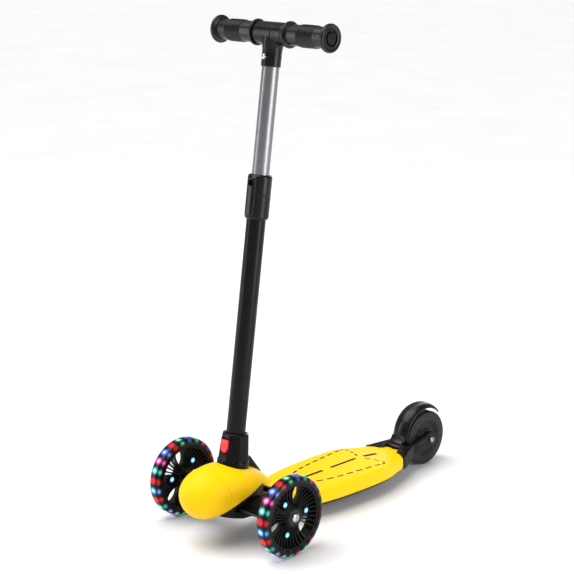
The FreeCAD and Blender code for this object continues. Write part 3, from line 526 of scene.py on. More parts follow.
def front_wheel(side, sign):
    """The two wheels are alike; the one on the rider's right is the other turned half round."""
    body = side + "_wheel"
    centre = np.array([sign * WHEEL_X, 0.0, AXLE_Z])

    def at_axle(points):
        return points * (sign, sign, 1.0) + centre

    swing = np.linspace(np.pi, 0.0, 45)
    section = np.stack([TYRE_HALF * np.sign(np.cos(swing)) * np.abs(np.cos(swing)) ** 0.7,
                        RIM_R + (TYRE_R - RIM_R) * np.sin(swing) ** 0.62], axis=1)
    tyre = make(side + "_tyre_cast", moved([turned(section, (0, 0, 0), turns=420)], at_axle), body, SMOKY,
                "smoky_tyre", (side + "_tyre",), sharp=60)
    paint_light(tyre, tyre_light(centre[0]))
    make(side + "_hub_finned", moved(hub_skins(), at_axle), body, HUB_GREY, "hub_plastic", (side + "_hub",))

    lens = softened([(-6.4, 0), (-6.1, LAMP_R), (6.1, LAMP_R), (6.6, 0)], 0.9, closed=False)
    centres = lamp_centres()
    lamps = make(side + "_lamp_lenses", moved([turned(lens, c, turns=32, ring=False) for c in centres],
                                              at_axle),
                 body, LAMP, "lamp", (side + "_lamps",))
    placed = at_axle(centres)

    def lens_light(points):
        away = np.min([np.hypot(points[:, 1] - c[1], points[:, 2] - c[2]) for c in placed], axis=0)[:, None]
        rim_blue = (1 - bump(away, 3.2)) * (0.005, 0.16, 0.42)
        return bump(away, 2.2) * (0.75, 0.95, 1.0) + rim_blue + (0.0, 0.18, 0.35)

    paint_light(lamps, lens_light)

    seal = softened([(-0.5, 6.2), (-0.5, 9.4), (0.5, 9.4), (0.5, 6.2)], 0.3)
    outer = softened([(0, 9.2), (0, 11), (7, 11), (7, 9.2)], 0.5)
    inner = softened([(0, 4.05), (0, 6.3), (7, 6.3), (7, 4.05)], 0.5)
    rings, seals = [], []
    for start in (3.0, -10.0):
        rings += [turned(outer, (start, 0, 0), turns=48), turned(inner, (start, 0, 0), turns=48)]
        seals += [turned(seal, (start + at, 0, 0), turns=48) for at in (0.9, 6.1)]
    make(side + "_bearing_rings", moved(rings, at_axle), body, DARK_STEEL, "steel", (side + "_bearings",))
    make(side + "_bearing_seals", moved(seals, at_axle), body, RUBBER, "grip_rubber")

    bolt_body = side + "_steer"
    face = sign * (WHEEL_X + 10.3)
    out = (sign, 0, 0)
    head = [(0, 0), (0, 6.6), (1.2, 6.6), (2.6, 5.6), (3.2, 4.0), (3.2, 3.0), (1.2, 2.6), (1.0, 0)]
    shank = softened([(-28, 0), (-28, 3.95), (0.4, 3.95), (0.4, 0)], 0.6, closed=False)
    make(side + "_axle_bolt_domed",
         [turned(softened(head, (0, 0.5, 0.8, 0.8, 0.4, 0.3, 0.3, 0), closed=False), (face, 0, AXLE_Z), out,
                 turns=48, ring=False),
          turned(shank, (face, 0, AXLE_Z), out, turns=32, ring=False)],
         bolt_body, STEEL, "steel", (side + "_axle_bolt",))


for hand, sign in SIDES:
    front_wheel(hand, sign)

# ---- yellow covers ---------------------------------------------------------

NOSE_R, NOSE_Y, NOSE_Z = 36.6, -60.0, 78.0
NOSE_CUT, NOSE_START, NOSE_TIP, SKIRT_START = -60.0, -50.0, -96.6, -56.0
COVER_END = 61.0
SHELL = 2.5
# y, half width, rise above the widest line, drop below it; then the widest line itself
COVER_SECTIONS = [(-97, 36.3, 37.0, 37.0), (-80, 36.7, 37.0, 37.0), (-66, 38.4, 37.0, 36.8),
                  (-48, 42.6, 37.3, 35.0),
                  (-32, 48, 36.8, 33), (-12, 51.5, 34, 30), (8, 48, 29.5, 28), (26, 38.5, 23.5, 25),
                  (44, 26, 15, 18), (62, 13, 4, 8)]
COVER_MIDDLE = [(-97, 78), (8, 78), (26, 77), (44, 74), (62, 68)]
COVER_EDGE = [(-56, 44), (-51, 52), (-43, 61), (-33, 70), (-19, 78), (-5, 83.5), (6, 86), (16, 85.5),
              (28, 80),
              (44, 71.5), (70, 64)]
CAP_POWER = 2.3


def cover_skin():
    """Half widths, rises and drops at each y come from the table, and ahead of NOSE_Y they close by
    (1 - u^2.3)^(1/2.3), u being the share of the nose's length.  A point is (w*cos a, y, mid + rise*sin a), or
    drop*sin a below the widest line; a runs between the two points where the section meets the edge line.  A
    low brow stands across the nose, its y growing with the distance from the middle."""
    front = NOSE_CUT - NOSE_R * np.sin(np.linspace(np.pi / 2, 0, 60))[:-1]
    y = np.concatenate([front, np.linspace(NOSE_CUT, SKIRT_START, 7)[:-1],
                        np.linspace(SKIRT_START, COVER_END, 120)])
    half, up, down = through(COVER_SECTIONS, y)
    mid = through(COVER_MIDDLE, y)
    nose = np.clip((NOSE_START - y) / (NOSE_START - NOSE_TIP), 0.0, 1.0)
    closed = (1.0 - nose ** CAP_POWER) ** (1.0 / CAP_POWER)
    half, up, down = half * closed, up * closed, down * closed
    edge = through(COVER_EDGE, y)
    reach = np.where(edge < mid, down, up)
    low = np.arcsin(np.clip((edge - mid) / np.maximum(reach, 1e-6), -1, 1))
    low = np.where(y <= SKIRT_START, -np.pi / 2, low)
    share = np.linspace(0, 1, 170)[None]
    a = low[:, None] + (np.pi - 2 * low[:, None]) * share
    rise = np.where(np.sin(a) > 0, up[:, None], down[:, None]) * np.sin(a)
    y = np.broadcast_to(y[:, None], a.shape)
    grid = np.stack([half[:, None] * np.cos(a), y, mid[:, None] + rise], axis=-1)
    brow = -72.0 + 23.0 * (np.hypot(grid[..., 0], 3.0) / 41.0) ** 0.95
    off = 0.8 * (grid[..., 1] - brow)
    outward = grid - np.array([0.0, NOSE_Y, NOSE_Z])
    outward /= np.maximum(np.linalg.norm(outward, axis=-1, keepdims=True), 1e-6)
    step = 0.75 * bump(off, 1.2) + 0.3 * smooth_step(1.0, -1.0, off)
    step = step * smooth_step(68.0, 84.0, grid[..., 2]) * (grid[..., 1] < -20)
    return Skin(grid + outward * step[..., None])


make("nose_cover", [cover_skin()], "head", YELLOW, "yellow_plastic", ("front_cover",), wall=SHELL, sharp=60)

# y, half width; y, top height; the tail's scalloped end as (x, y)
DECK_PLAN = [(66, 27), (84, 36), (109, 45.5), (150, 54), (196, 57.5), (242, 58), (286, 54.5), (312, 47),
             (332, 41.5),
             (360, 41.5)]
DECK_TOP = [(66, 58), (73, 55), (80, 52.5), (88, 49.7), (96, 48), (110, 48), (265, 48), (284, 46.6),
            (323, 41.8),
            (357, 40.5)]
DECK_TAIL = [(0, 353.5), (7, 356.5), (14, 355.5), (15.5, 349), (18, 342.5), (27, 341), (34, 336),
             (41.5, 331.5)]
DECK_FRONT, DECK_SKIRT, DECK_WALL, TAIL_HALF = 66.0, 24.0, 3.0, 41.5


def deck_half(y):
    """Half the cover's width; it stays the same along the tail."""
    return through(DECK_PLAN, np.minimum(y, 332.0))


def deck_height(y):
    """Straight runs through the top line, eased over a few millimetres at its bends."""
    y = np.asarray(y, float)
    offsets = np.array([-4.0, -2.0, 0.0, 2.0, 4.0])
    line = np.array(DECK_TOP)
    return np.mean([np.interp(y + o, line[:, 0], line[:, 1]) for o in offsets], axis=0)


def both_sides(skirt, shoulder, flat, sign=1):
    """A section's values: skirt, shoulder and flat top, then shoulder and skirt back down the other side."""
    return np.concatenate([skirt, shoulder, flat, sign * shoulder[::-1], sign * skirt[::-1]])


def deck_skin():
    """A section from skirt to skirt (upright side, rounded shoulder, flat top), carried back along y; the
    widths follow the plan, the top follows the top line, and each line ends on the scalloped tail."""
    skirt, shoulder = np.ones(11), np.ones(9)
    turn = np.linspace(0, np.pi / 2, len(shoulder))
    top = np.linspace(1, -1, 121)[1:-1]
    radius = 5.5
    share_x = both_sides(skirt, shoulder, top, -1)
    pull_x = both_sides(0 * skirt, 1 - np.cos(turn), np.ones(len(top)))
    drop = both_sides(skirt, 1 - np.sin(turn), 0 * top)
    down = both_sides(1 - np.linspace(0, 1, len(skirt) + 1)[:-1], 0 * shoulder, 0 * top)
    tail = softened(DECK_TAIL, 1.6, closed=False)
    order = np.argsort(tail[:, 0])
    end = np.interp(np.abs(share_x) * (TAIL_HALF - radius * pull_x), tail[order, 0], tail[order, 1])
    v = np.concatenate([np.linspace(0, 0.93, 130), np.linspace(0.93, 1, 26)[1:]])[:, None]
    y = DECK_FRONT + (end[None] - DECK_FRONT) * v
    half, height = deck_half(y), deck_height(y)
    x = share_x * (half - radius * pull_x)
    level = height - radius * drop
    z = level + (DECK_SKIRT - level) * down
    past = smooth_step(330.0, 334.0, y)
    z = z * (1 - past * (down > 0)) + (height - radius) * past * (down > 0)
    crown = 0.6 * (1 - (x / np.maximum(half, 1)) ** 2)
    return Skin(np.stack([x, y, z + crown * (down == 0) - 0.6 * (down == 0)], axis=-1))


make("deck_shell", [deck_skin()], "deck", YELLOW, "yellow_plastic", ("deck_cover",), wall=DECK_WALL - 0.1,
     sharp=50)

# the dashes' middle lines as (y, x), and the single dashes as y0, x0, y1, x1, width
EDGE_LINE = [(148, 24.5), (166, 30.5), (185, 34), (204, 36.5), (223, 39), (242, 41), (262, 43), (280, 46)]
DASH_SHARE = 0.66
EDGE_WIDTH = 3.4
CORNER_DASHES = [(277, 45.6, 284, 44.5, EDGE_WIDTH), (286, 42.5, 287.5, 36, EDGE_WIDTH + 0.6),
                 (285.6, 30, 283, 22, EDGE_WIDTH), (281, 17, 276.5, 8, EDGE_WIDTH)]
CENTRE_DASHES = [(148, 0, 188, 0, 5.4), (206, 0, 264, 0, 5.2), (283, 0, 314, 0, 7.2)]


def dash(y0, x0, y1, x1, width):
    """A flat stroke with rounded ends that follows the deck's top, a tenth of a millimetre above it."""
    start, end = np.array([x0, y0], float), np.array([x1, y1], float)
    run = unit(end - start)
    side = np.array([-run[1], run[0]])
    length = np.linalg.norm(end - start)
    at = np.concatenate([[0.0, 0.12, 0.4], np.linspace(1.0, length - 1.0, 14),
                         [length - 0.4, length - 0.12, length]])
    half = width / 2 * np.sqrt(np.clip(1 - ((np.maximum(1 - at, at - length + 1)).clip(0, 1)) ** 2, 0.02, 1))
    layers = np.array([(-1, -0.7), (-1, 0.06), (-0.8, 0.12), (0.8, 0.12), (1, 0.06), (1, -0.7)])
    xy = start + at[:, None, None] * run + (half[:, None] * layers[:, 0])[..., None] * side
    half_deck = np.maximum(deck_half(xy[..., 1]), 1)
    z = deck_height(xy[..., 1]) - 0.6 * (xy[..., 0] / half_deck) ** 2 + layers[:, 1]
    return Skin(np.concatenate([xy, z[..., None]], axis=-1), False, True, True)


def dash_skins():
    """The broken edge line and its corner dashes on both sides, and three dashes down the middle."""
    strokes = [(y0, x0, y0 + (y1 - y0) * DASH_SHARE, x0 + (x1 - x0) * DASH_SHARE, EDGE_WIDTH)
               for (y0, x0), (y1, x1) in zip(EDGE_LINE[:-1], EDGE_LINE[1:])] + CORNER_DASHES
    strokes += [(y0, -x0, y1, -x1, width) for y0, x0, y1, x1, width in strokes]
    return [dash(*stroke) for stroke in strokes + CENTRE_DASHES]


make("deck_dashes", dash_skins(), "deck", INLAY, "black_plastic", ("deck_inlays",))

# ---- steering head ---------------------------------------------------------

# s along the stem and distance across the flats of the eight-sided socket, with its round collar below
SOCKET = [(-66, 45.6, 0.0), (-65, 47, 0.0), (-41.5, 47, 0.0), (-40.2, 45.6, 0.2), (-39.6, 44.2, 1.0),
          (-38.6, 43.8, 1.0), (-36, 43.6, 1.0), (-22, 41.5, 1.0), (-2.6, 38.2, 1.0), (-1.6, 37.2, 1.0),
          (-1.2, 35.8, 1.0), (-0.4, 34.4, 0.7), (0, 33.0, 0.3), (0, 28.6, 0.0)]
BUTTON_LOW, BUTTON_HIGH, BUTTON_HALF = -29.0, -9.0, 7.8
POCKET_RIM, POCKET_FLOOR = 1.6, 14.5


def socket_radius(angle, flats, eight):
    """A circle of the flats' half distance, or a soft octagon: half flats over the 36-power norm of the cosines
    from the flats' directions."""
    steps = np.arange(8) * np.pi / 4
    cosine = np.maximum(np.cos(angle[..., None] - steps), 0.0)
    octagon = np.sum(cosine ** 36, axis=-1) ** (-1.0 / 36)
    return flats / 2 * (1 + (octagon - 1) * eight)


def pocket_depth(s, x):
    """Distance to a rounded rectangle that narrows at its foot: negative inside the button's pocket."""
    half = BUTTON_HALF + 0.5 - 0.44 * BUTTON_HALF * smooth_step(BUTTON_LOW + 8, BUTTON_LOW - 1, s)
    ds = np.abs(s - (BUTTON_LOW + BUTTON_HIGH) / 2) - (BUTTON_HIGH - BUTTON_LOW) / 2 - 0.5
    dx = np.abs(x) - half
    soft = 1.2
    outside = np.hypot(np.maximum(ds + soft, 0), np.maximum(dx + soft, 0))
    return outside + np.minimum(np.maximum(ds, dx) + soft, 0) - soft


def socket_skin():
    """Rows follow the stations along the stem, columns the angle from the front; the button's pocket is pressed
    in to a flat floor, with a low raised ridge round it."""
    station = np.array(SOCKET)
    s = np.unique(np.concatenate([station[:-1, 0], np.linspace(-35, -3, 76)]))
    flats = np.interp(s, station[:-1, 0], station[:-1, 1])
    eight = np.interp(s, station[:-1, 0], station[:-1, 2])
    s, flats, eight = np.append(s, 0.0), np.append(flats, 28.6), np.append(eight, 0.0)
    angle = np.concatenate([np.linspace(-0.5, 0.5, 90), np.linspace(0.5, 2 * np.pi - 0.5, 130)[1:-1]])
    angle, s_grid = np.meshgrid(angle, s)
    radius = socket_radius(angle, flats[:, None], eight[:, None])
    x, ahead = radius * np.sin(angle), radius * np.cos(angle)
    gap = pocket_depth(s_grid, x)
    front = ahead > 0
    sunk = (ahead - POCKET_FLOOR) * smooth_step(0.5, -0.5, gap)
    ahead = ahead - np.where(front, sunk - 0.7 * bump(gap - POCKET_RIM, 0.8), 0.0)
    return Skin(on_stem(s_grid, ahead, x), False, True)


GUSSET = [(6, 100), (6, 127), (12, 124.5), (24, 117), (45, 89), (45, 84), (26, 84)]
make("steering_socket", [socket_skin()], "head", HEAD_BLACK, "black_plastic", ("steering_head",), wall=0.3,
     sharp=34)
make("socket_gusset", [slab(softened(GUSSET, 3.0), -10.5, 10.5, 2.2, across)], "head", HEAD_BLACK,
     "black_plastic")
pivot_barrel = softened([(-31, 6.3), (-31, 9), (21.5, 9), (21.5, 6.3)], 0.8)
saddle = softened([(-20, 79), (-23, 96), (8, 103), (26, 95), (21, 79)], 2.0)
cross_bar = softened([(-11, 80.5), (-11, 86), (8, 86), (8, 80.5)], 1.2)
make("pivot_saddle", [turned(pivot_barrel, (0, 0, 70), axis=(0, 1, 0), turns=56),
                      slab(saddle, -14, 14, 1.5, across), slab(cross_bar, -30, 30, 1.2, across)],
     "head", HEAD_BLACK, "black_plastic")


def red_button():
    """Shield shape: square shoulders and a tapered foot, its face slightly domed, with a row of low ridges."""
    outline = softened([(-7.6, BUTTON_HIGH - 0.2), (7.6, BUTTON_HIGH - 0.2), (7.6, BUTTON_LOW + 7),
                        (4.2, BUTTON_LOW + 0.4), (-4.2, BUTTON_LOW + 0.4), (-7.6, BUTTON_LOW + 7)], 2.2)
    middle = np.array([0.0, -18.0])
    turn = np.linspace(0, np.pi / 2, 5)[1:]
    ring = np.concatenate([[1.0, 1.0], 1 - 0.10 * (1 - np.cos(turn)), np.linspace(0.85, 0, 14)])
    ahead = np.concatenate([[17.7, 21.0], 21.0 + 0.9 * np.sin(turn), np.full(14, 21.9)])
    xs = middle + (outline[None] - middle) * ring[:, None, None]
    dome = 0.35 * (1 - ring[:, None] ** 2) + np.zeros(len(outline))
    ridge = 0.22 * np.cos((xs[..., 1] + 18.0) * 2 * np.pi / 3.4) * smooth_step(0.85, 0.6, ring)[:, None]
    return Skin(on_stem(xs[..., 1], ahead[:, None] + dome + ridge, xs[..., 0]), False, True)


make("release_button_cap", [red_button()], "release", RED, "red_plastic", ("release_button",), wall=1.2)

# ---- stem tubes and height collar ------------------------------------------

make("lower_tube_coated", [stem_ring(-54, 345, 14.0, 12.6)], "stem", TUBE_BLACK, "black_painted_tube",
     ("lower_tube",))
make("upper_tube_drawn", [stem_ring(223, 560, 12.5, 11.3)], "handlebar", SILVER, "silver_tube",
     ("upper_tube",))

COLLAR_LOW, COLLAR_HIGH, COLLAR_R = 313.0, 377.0, 17.6
HEIGHT_HOLE = 365.0


def collar_skin():
    """Radius 17.6, each end drawn in by 3.4 mm over 4.5 mm; a flat-topped panel stands about 1.2 proud in front,
    a dimple is sunk round the height pin, and finger pads with fine ribs are let into the lower half's sides."""
    quarter = np.linspace(0, np.pi / 2, 9)
    end, fall = 1 - np.cos(quarter), 3.4 * (1 - np.sin(quarter))
    s = np.concatenate([COLLAR_LOW + 4.5 * end, np.linspace(COLLAR_LOW + 4.5, COLLAR_HIGH - 4.5, 180)[1:-1],
                        COLLAR_HIGH - 4.5 * end[::-1]])
    drawn = np.concatenate([fall, np.zeros(178), fall[::-1]])
    angle = np.linspace(-np.pi, np.pi, 240, endpoint=False)
    s_grid, turn = np.meshgrid(s, angle, indexing="ij")
    x = COLLAR_R * np.sin(turn)
    in_front = np.abs(turn) < 0.9
    panel = (smooth_step(8.6, 6.8, np.abs(x)) * smooth_step(317, 321, s_grid)
             * smooth_step(374.5, 371, s_grid) * in_front)
    lift = (COLLAR_R + 1.2) / np.maximum(np.cos(turn), 0.6) - COLLAR_R
    pad = (smooth_step(0.62, 0.52, np.abs(np.abs(turn) - 1.35)) * smooth_step(315.5, 318, s_grid)
           * smooth_step(352, 344, s_grid))
    ribs = 0.22 * (0.5 + 0.5 * np.cos((s_grid - 316) * 2 * np.pi / 2.1)) * smooth_step(346, 340, s_grid)
    hole = np.hypot(s_grid - HEIGHT_HOLE, x)
    sunk = 6.6 * smooth_step(4.9, 3.9, hole) * in_front
    radius = COLLAR_R - drawn[:, None] + panel * np.minimum(lift, 1.4) - pad * (0.45 - ribs) - sunk
    inner = np.full((1, 240), 13.0)
    radius = np.concatenate([inner, radius, inner])
    s_grid = np.concatenate([s_grid[:1], s_grid, s_grid[-1:]])
    turn = np.concatenate([turn[:1], turn, turn[:1]])
    return Skin(on_stem(s_grid, radius * np.cos(turn), radius * np.sin(turn)), False, True)


make("height_collar_gloss", [collar_skin()], "stem", GLOSS, "gloss_black_plastic", ("height_collar",),
     sharp=50)
pin_profile = softened([(9.8, 0), (9.8, 3.4), (11.9, 3.4), (12.5, 0)], 0.5, closed=False)
make("height_pin_cap", [turned(pin_profile, on_stem(HEIGHT_HOLE), AHEAD, ALONG, 32, ring=False)],
     "height_button",
     STEEL, "steel", ("height_pin",))

# ---- handlebar -------------------------------------------------------------

BAR_S = 576.0
BAR = on_stem(BAR_S)
TEE_LOW = 529.5
SCREW_S = 543.0
# the blank shield: s, half width
SHIELD_LOW, SHIELD_HIGH = 551.0, 589.0
SHIELD = [(551, 0.6), (553, 3.2), (557, 5.4), (563, 7.4), (569, 8.7), (578, 9.0), (589, 9.0)]


def tee_wide(s):
    """The stem sleeve's half width: 14.3, swelling to meet the bar sleeve in a fillet."""
    return 14.3 + 6.5 * smooth_step(552, 571, s) ** 1.5


def tee_deep(s):
    """The stem sleeve's half depth: 14.3, swelling by 1.5."""
    return 14.3 + 1.5 * smooth_step(545, 566, s)


def tee_stem_skin():
    """The upright sleeve, an ellipse at each height, drawn in at its mouth."""
    s = np.concatenate([[TEE_LOW, TEE_LOW, TEE_LOW + 0.5], np.linspace(TEE_LOW + 1.2, BAR_S - 8, 50),
                        [BAR_S - 4]])
    mouth = np.concatenate([[1.7, 0.5, 0.1], np.zeros(51)])
    wide, deep = tee_wide(s) - mouth, tee_deep(s) - mouth
    angle = np.linspace(0, 2 * np.pi, 96, endpoint=False)
    return Skin(on_stem(s[:, None], deep[:, None] * np.cos(angle), wide[:, None] * np.sin(angle)), False,
                True, True)


def tee_shield_skin():
    """A shield that follows the sleeve: its half width is a table of s, and it stands 0.9 proud of the larger of
    the bar sleeve's circle and the stem sleeve, sinking under the surface at its rim."""
    s = np.linspace(SHIELD_LOW, SHIELD_HIGH, 70)[:, None]
    share = np.linspace(-1, 1, 48)[None]
    half = through(SHIELD, s[:, 0])[:, None]
    x = half * share
    bar = np.sqrt(np.maximum(16.2 ** 2 - (s - BAR_S) ** 2, 0.0))
    stem = tee_deep(s) * np.sqrt(np.maximum(1 - (x / tee_wide(s)) ** 2, 0))
    under = np.maximum(bar, stem * (s < BAR_S))
    rim = np.minimum(half * (1 - np.abs(share)), np.minimum(s - SHIELD_LOW, SHIELD_HIGH - s))
    return Skin(on_stem(s, under - 0.7 + 1.6 * smooth_step(0.0, 1.8, rim), x))


sleeve = softened([(-29, 11.2), (-29, 15.4), (-28, 16), (-24, 16.2), (24, 16.2), (28, 16), (29, 15.4),
                   (29, 11.2)], 0.8)
boss_ring = softened([(9, 2.6), (9, 5.9), (15.4, 5.6), (15.8, 4.6), (15.8, 2.6)], 0.7)
make("tee_moulding",
     [turned(sleeve, BAR, BESIDE, ALONG, 96), tee_stem_skin(),
      turned(boss_ring, on_stem(SCREW_S), AHEAD, ALONG, 40)],
     "handlebar", GLOSS, "gloss_black_plastic", ("tee_piece",))
make("tee_shield", [tee_shield_skin()], "handlebar", GLOSS, "gloss_black_plastic", wall=1.2, sharp=60)
screw_profile = softened([(12.6, 0), (12.6, 3.8), (16.8, 3.8), (17.8, 2.9), (17.8, 1.8), (16.4, 1.7),
                          (16.4, 0)],
                         (0, 0.3, 0.6, 0.5, 0.2, 0.2, 0), closed=False)
make("tee_screw_head", [turned(screw_profile, on_stem(SCREW_S), AHEAD, ALONG, 36, ring=False)], "handlebar",
     STEEL,
     "steel", ("tee_screw",))

GRIP_START, GRIP_LENGTH, GRIP_R = 30.0, 81.6, 15.0
RIBS, RIB_START, RIB_PITCH = 7, 26.0, 4.4


def grip_profile():
    """Inner flange, a barrel crowned by a sine with seven rounded ribs, a thick outer flange and a dished end."""
    end = GRIP_LENGTH
    x = np.linspace(4.6, end - 7.4, 260)
    crown = 0.7 * np.sin(np.pi * (x - 4.6) / (end - 12.0))
    phase = (x - RIB_START) / RIB_PITCH
    inside = (phase > 0) & (phase < RIBS)
    rib = np.where(inside, 1.5 * np.sin(np.pi * (phase % 1.0)) ** 1.3 - 0.5, 0.0)
    barrel = np.stack([x, GRIP_R - 0.4 + crown + rib], axis=1)
    start = softened([(4.6, 11.1), (0, 11.1), (0, 18.0), (1.0, 19.0), (3.2, 19.0), (4.2, 18.2), (4.4, 15.0)],
                     0.6, closed=False)
    flange = softened([(end - 7.2, 14.8), (end - 6.6, 18.4), (end - 5.4, 20.0), (end - 3.6, 20.3),
                       (end - 1.6, 20.0),
                       (end - 0.2, 18.6), (end - 0.2, 17.4), (end - 2.0, 15.4), (end - 2.2, 13.6),
                       (end - 0.5, 13.0),
                       (end - 0.5, 11.8), (end - 3.6, 11.2), (end - 3.6, 8.4), (end - 6, 8.4),
                       (end - 6, 11.1)],
                      0.7, closed=False)
    return np.concatenate([start, barrel, flange])


plug_profile = softened([(GRIP_LENGTH - 8, 0), (GRIP_LENGTH - 8, 8.3), (GRIP_LENGTH - 1.3, 8.5),
                         (GRIP_LENGTH - 0.2, 7.6), (GRIP_LENGTH + 0.25, 4.5), (GRIP_LENGTH + 0.4, 0)],
                        1.1, closed=False)
for hand, sign in SIDES:
    start = BAR + BESIDE * sign * GRIP_START
    make(hand + "_grip_ribbed", [turned(grip_profile(), start, BESIDE * sign, ALONG, 112)], "handlebar",
         RUBBER,
         "grip_rubber", (hand + "_grip",), sharp=50)
    make(hand + "_end_plug", [turned(plug_profile, start, BESIDE * sign, ALONG, 56, ring=False)], "handlebar",
         BLACK,
         "black_plastic", (hand + "_grip_plug",))

# ---- front carrier and steering parts --------------------------------------

for node, body, finish, slot, edge in (
        ("front_carrier", "deck", BLACK, "black_plastic", 0.8),
        ("kingpins", "deck", STEEL, "steel", 0.4),
        ("left_knuckle", "left_steer", BLACK, "black_plastic", 0.5),
        ("right_knuckle", "right_steer", BLACK, "black_plastic", 0.5),
        ("tie_rod", "steer_link", DARK_STEEL, "steel", 0.4),
        ("deck_base", "deck", BLACK, "black_plastic", 0.8)):
    dressed(node, body, finish, slot, edge)

bumper = softened([(64, 0), (64, 6), (71.5, 6), (74, 3.2), (74, 0)], (0, 0.6, 1.5, 1.5, 0), closed=False)
make("bumper_domes", [turned(bumper, (x, -2, 0), axis=(0, 0, 1), up=(0, 1, 0), turns=40, ring=False)
                      for x in (-22, 22)],
     "deck", RUBBER, "grip_rubber", ("lean_bumpers",))
arm_front = softened([(30, 44.5), (30, 66.5), (54, 66.5), (66, 68.5), (77.4, 71.6), (77.4, 67.6), (70, 66),
                      (70, 53.5),
                      (77.4, 52), (77.4, 48.5), (64, 46)], 2.5)
for hand, sign in SIDES:
    make(hand + "_arm_shroud", [slab(arm_front * (sign, 1), -14.0, 15.0, 2.4, upright)], "deck", BLACK,
         "black_plastic")

# The base spreads into two shoulders between the deck's tail and the fork's arms.
shoulder_plan = softened([(16.4, 352), (18.5, 344.2), (27, 342.8), (34, 337.8), (40.5, 333), (38.5, 343),
                          (33.0, 355), (23.2, 380), (16.4, 380)], 1.6)


def on_shoulder(u, v, w):
    """The top of a fork shoulder rises by 5 mm towards the arm."""
    return np.stack([u, v, w + 5.0 * smooth_step(333.0, 378.0, v) * smooth_step(30.0, 39.0, w)], axis=-1)


for hand, sign in SIDES:
    make(hand + "_fork_shoulder", [slab(shoulder_plan * (sign, 1), 20.5, 42.0, 1.6, on_shoulder)], "deck",
         BLACK,
         "black_plastic")

# ---- rear wheel ------------------------------------------------------------

REAR = np.array([0.0, 424.0, 45.0])
rear_tyre = softened([(-13, 31), (-13, 38.5), (-12.4, 45), (12.4, 45), (13, 38.5), (13, 31)],
                     (0.4, 2.0, 6.0, 6.0, 2.0, 0.4), steps=9)
make("rear_tyre_cast", [turned(rear_tyre, REAR, turns=160)], "rear_wheel", REAR_TYRE, "grey_tyre",
     ("rear_tyre",), sharp=60)
rear_disc = softened([(-13, 11.1), (-13, 13.6), (-11.6, 15), (-9.2, 16.5), (-9.2, 24.5), (-11.8, 27.0),
                      (-12.6, 28.2),
                      (-12.6, 31), (12.6, 31), (12.6, 28.2), (11.8, 27.0), (9.2, 24.5), (9.2, 16.5),
                      (11.6, 15),
                      (13, 13.6), (13, 11.1)], 1.0)
make("rear_hub_dished", [turned(rear_disc, REAR, turns=112)], "rear_wheel", DISC_GREY, "hub_plastic",
     ("rear_hub",))


def hexagon(x0, x1, flats, out):
    """Six-sided head: the smaller of the hexagon's radius and a cone that chamfers the outer end."""
    x = np.concatenate([[0, 0], np.linspace(0, x1 - x0, 12)])
    angle = np.linspace(0, 2 * np.pi, 96, endpoint=False)
    sixth = (angle + np.pi / 6) % (np.pi / 3) - np.pi / 6
    six = flats / 2 / np.cos(sixth)
    cone = flats / 2 * 1.17 - 1.8 * np.maximum(0, x - (x1 - x0) + 1.0)
    radius = np.minimum(six[None], cone[:, None])
    radius = np.concatenate([np.zeros((1, 96)), radius[1:], np.full((1, 96), 3.6), np.zeros((1, 96))])
    x = np.concatenate([x, [x1 - x0, x1 - x0]])
    at = out * (x0 + x)
    y, z = REAR[1] + radius * np.cos(angle), REAR[2] + radius * np.sin(angle)
    return Skin(np.stack([np.broadcast_to(at[:, None], y.shape), y, z], axis=-1), False, True)


rear_shank = softened([(-31, 0), (-31, 3.95), (23.5, 3.95), (23.5, 0)], 0.7, closed=False)
make("rear_bolt_hex", [hexagon(23.0, 26.3, 9.0, 1), turned(rear_shank, REAR, turns=32, ring=False)], "deck",
     ZINC,
     "zinc_yellow_steel", ("rear_axle_bolt",))
make("rear_nut_hex", [hexagon(23.0, 29.5, 10.0, -1)], "deck", ZINC, "zinc_yellow_steel", ("rear_axle_nut",))

# ---- fender brake ----------------------------------------------------------

FENDER_Y, FENDER_Z, FENDER_R, FENDER_HALF = 418.5, 53.8, 51.3, 15.6
FENDER_REAR, FENDER_FRONT, TIP_SPAN = 41.0, 187.0, 14.0     # degrees up from straight back
HINGE_Y, HINGE_Z = 361.5, 43.5


def fender_skin():
    """A crowned section with rolled sides, carried round the wheel; it narrows to a rounded tip at the rear,
    and fine ribs lie across its crown behind the top."""
    w = FENDER_HALF
    half = softened([(0, 0), (6, -0.5), (11.5, -2.2), (w, -5.0), (w, -7.2)], (0, 2.4, 2.6, 1.6, 0),
                    closed=False, steps=7)
    section = np.concatenate([half[::-1] * (-1, 1), half[1:]])
    turn = np.concatenate([np.linspace(FENDER_REAR, FENDER_REAR + TIP_SPAN, 40)[:-1],
                           np.linspace(FENDER_REAR + TIP_SPAN, FENDER_FRONT, 260)])
    angle = np.radians(turn)[:, None]
    near_tip = (turn - FENDER_REAR) / TIP_SPAN
    taper = 0.84 + 0.16 * np.sqrt(np.clip(1 - (1 - np.clip(near_tip, 0, 1)) ** 2, 0, 1))
    lip = 0.9 + 0.1 * smooth_step(0.0, 1.3, near_tip)
    x = section[:, 0][None] * taper[:, None]
    drop = section[:, 1][None] * lip[:, None]
    arc = np.radians(turn) * FENDER_R
    ribs = (0.32 * (0.5 + 0.5 * np.cos(arc * 2 * np.pi / 3.3)) * smooth_step(58, 66, turn)
            * smooth_step(122, 112, turn))[:, None] * smooth_step(11.0, 8.5, np.abs(x))
    radius = FENDER_R - 0.35 + drop + ribs
    y, z = FENDER_Y + radius * np.cos(angle), FENDER_Z + radius * np.sin(angle)
    return Skin(np.stack([x, y, z], axis=-1))


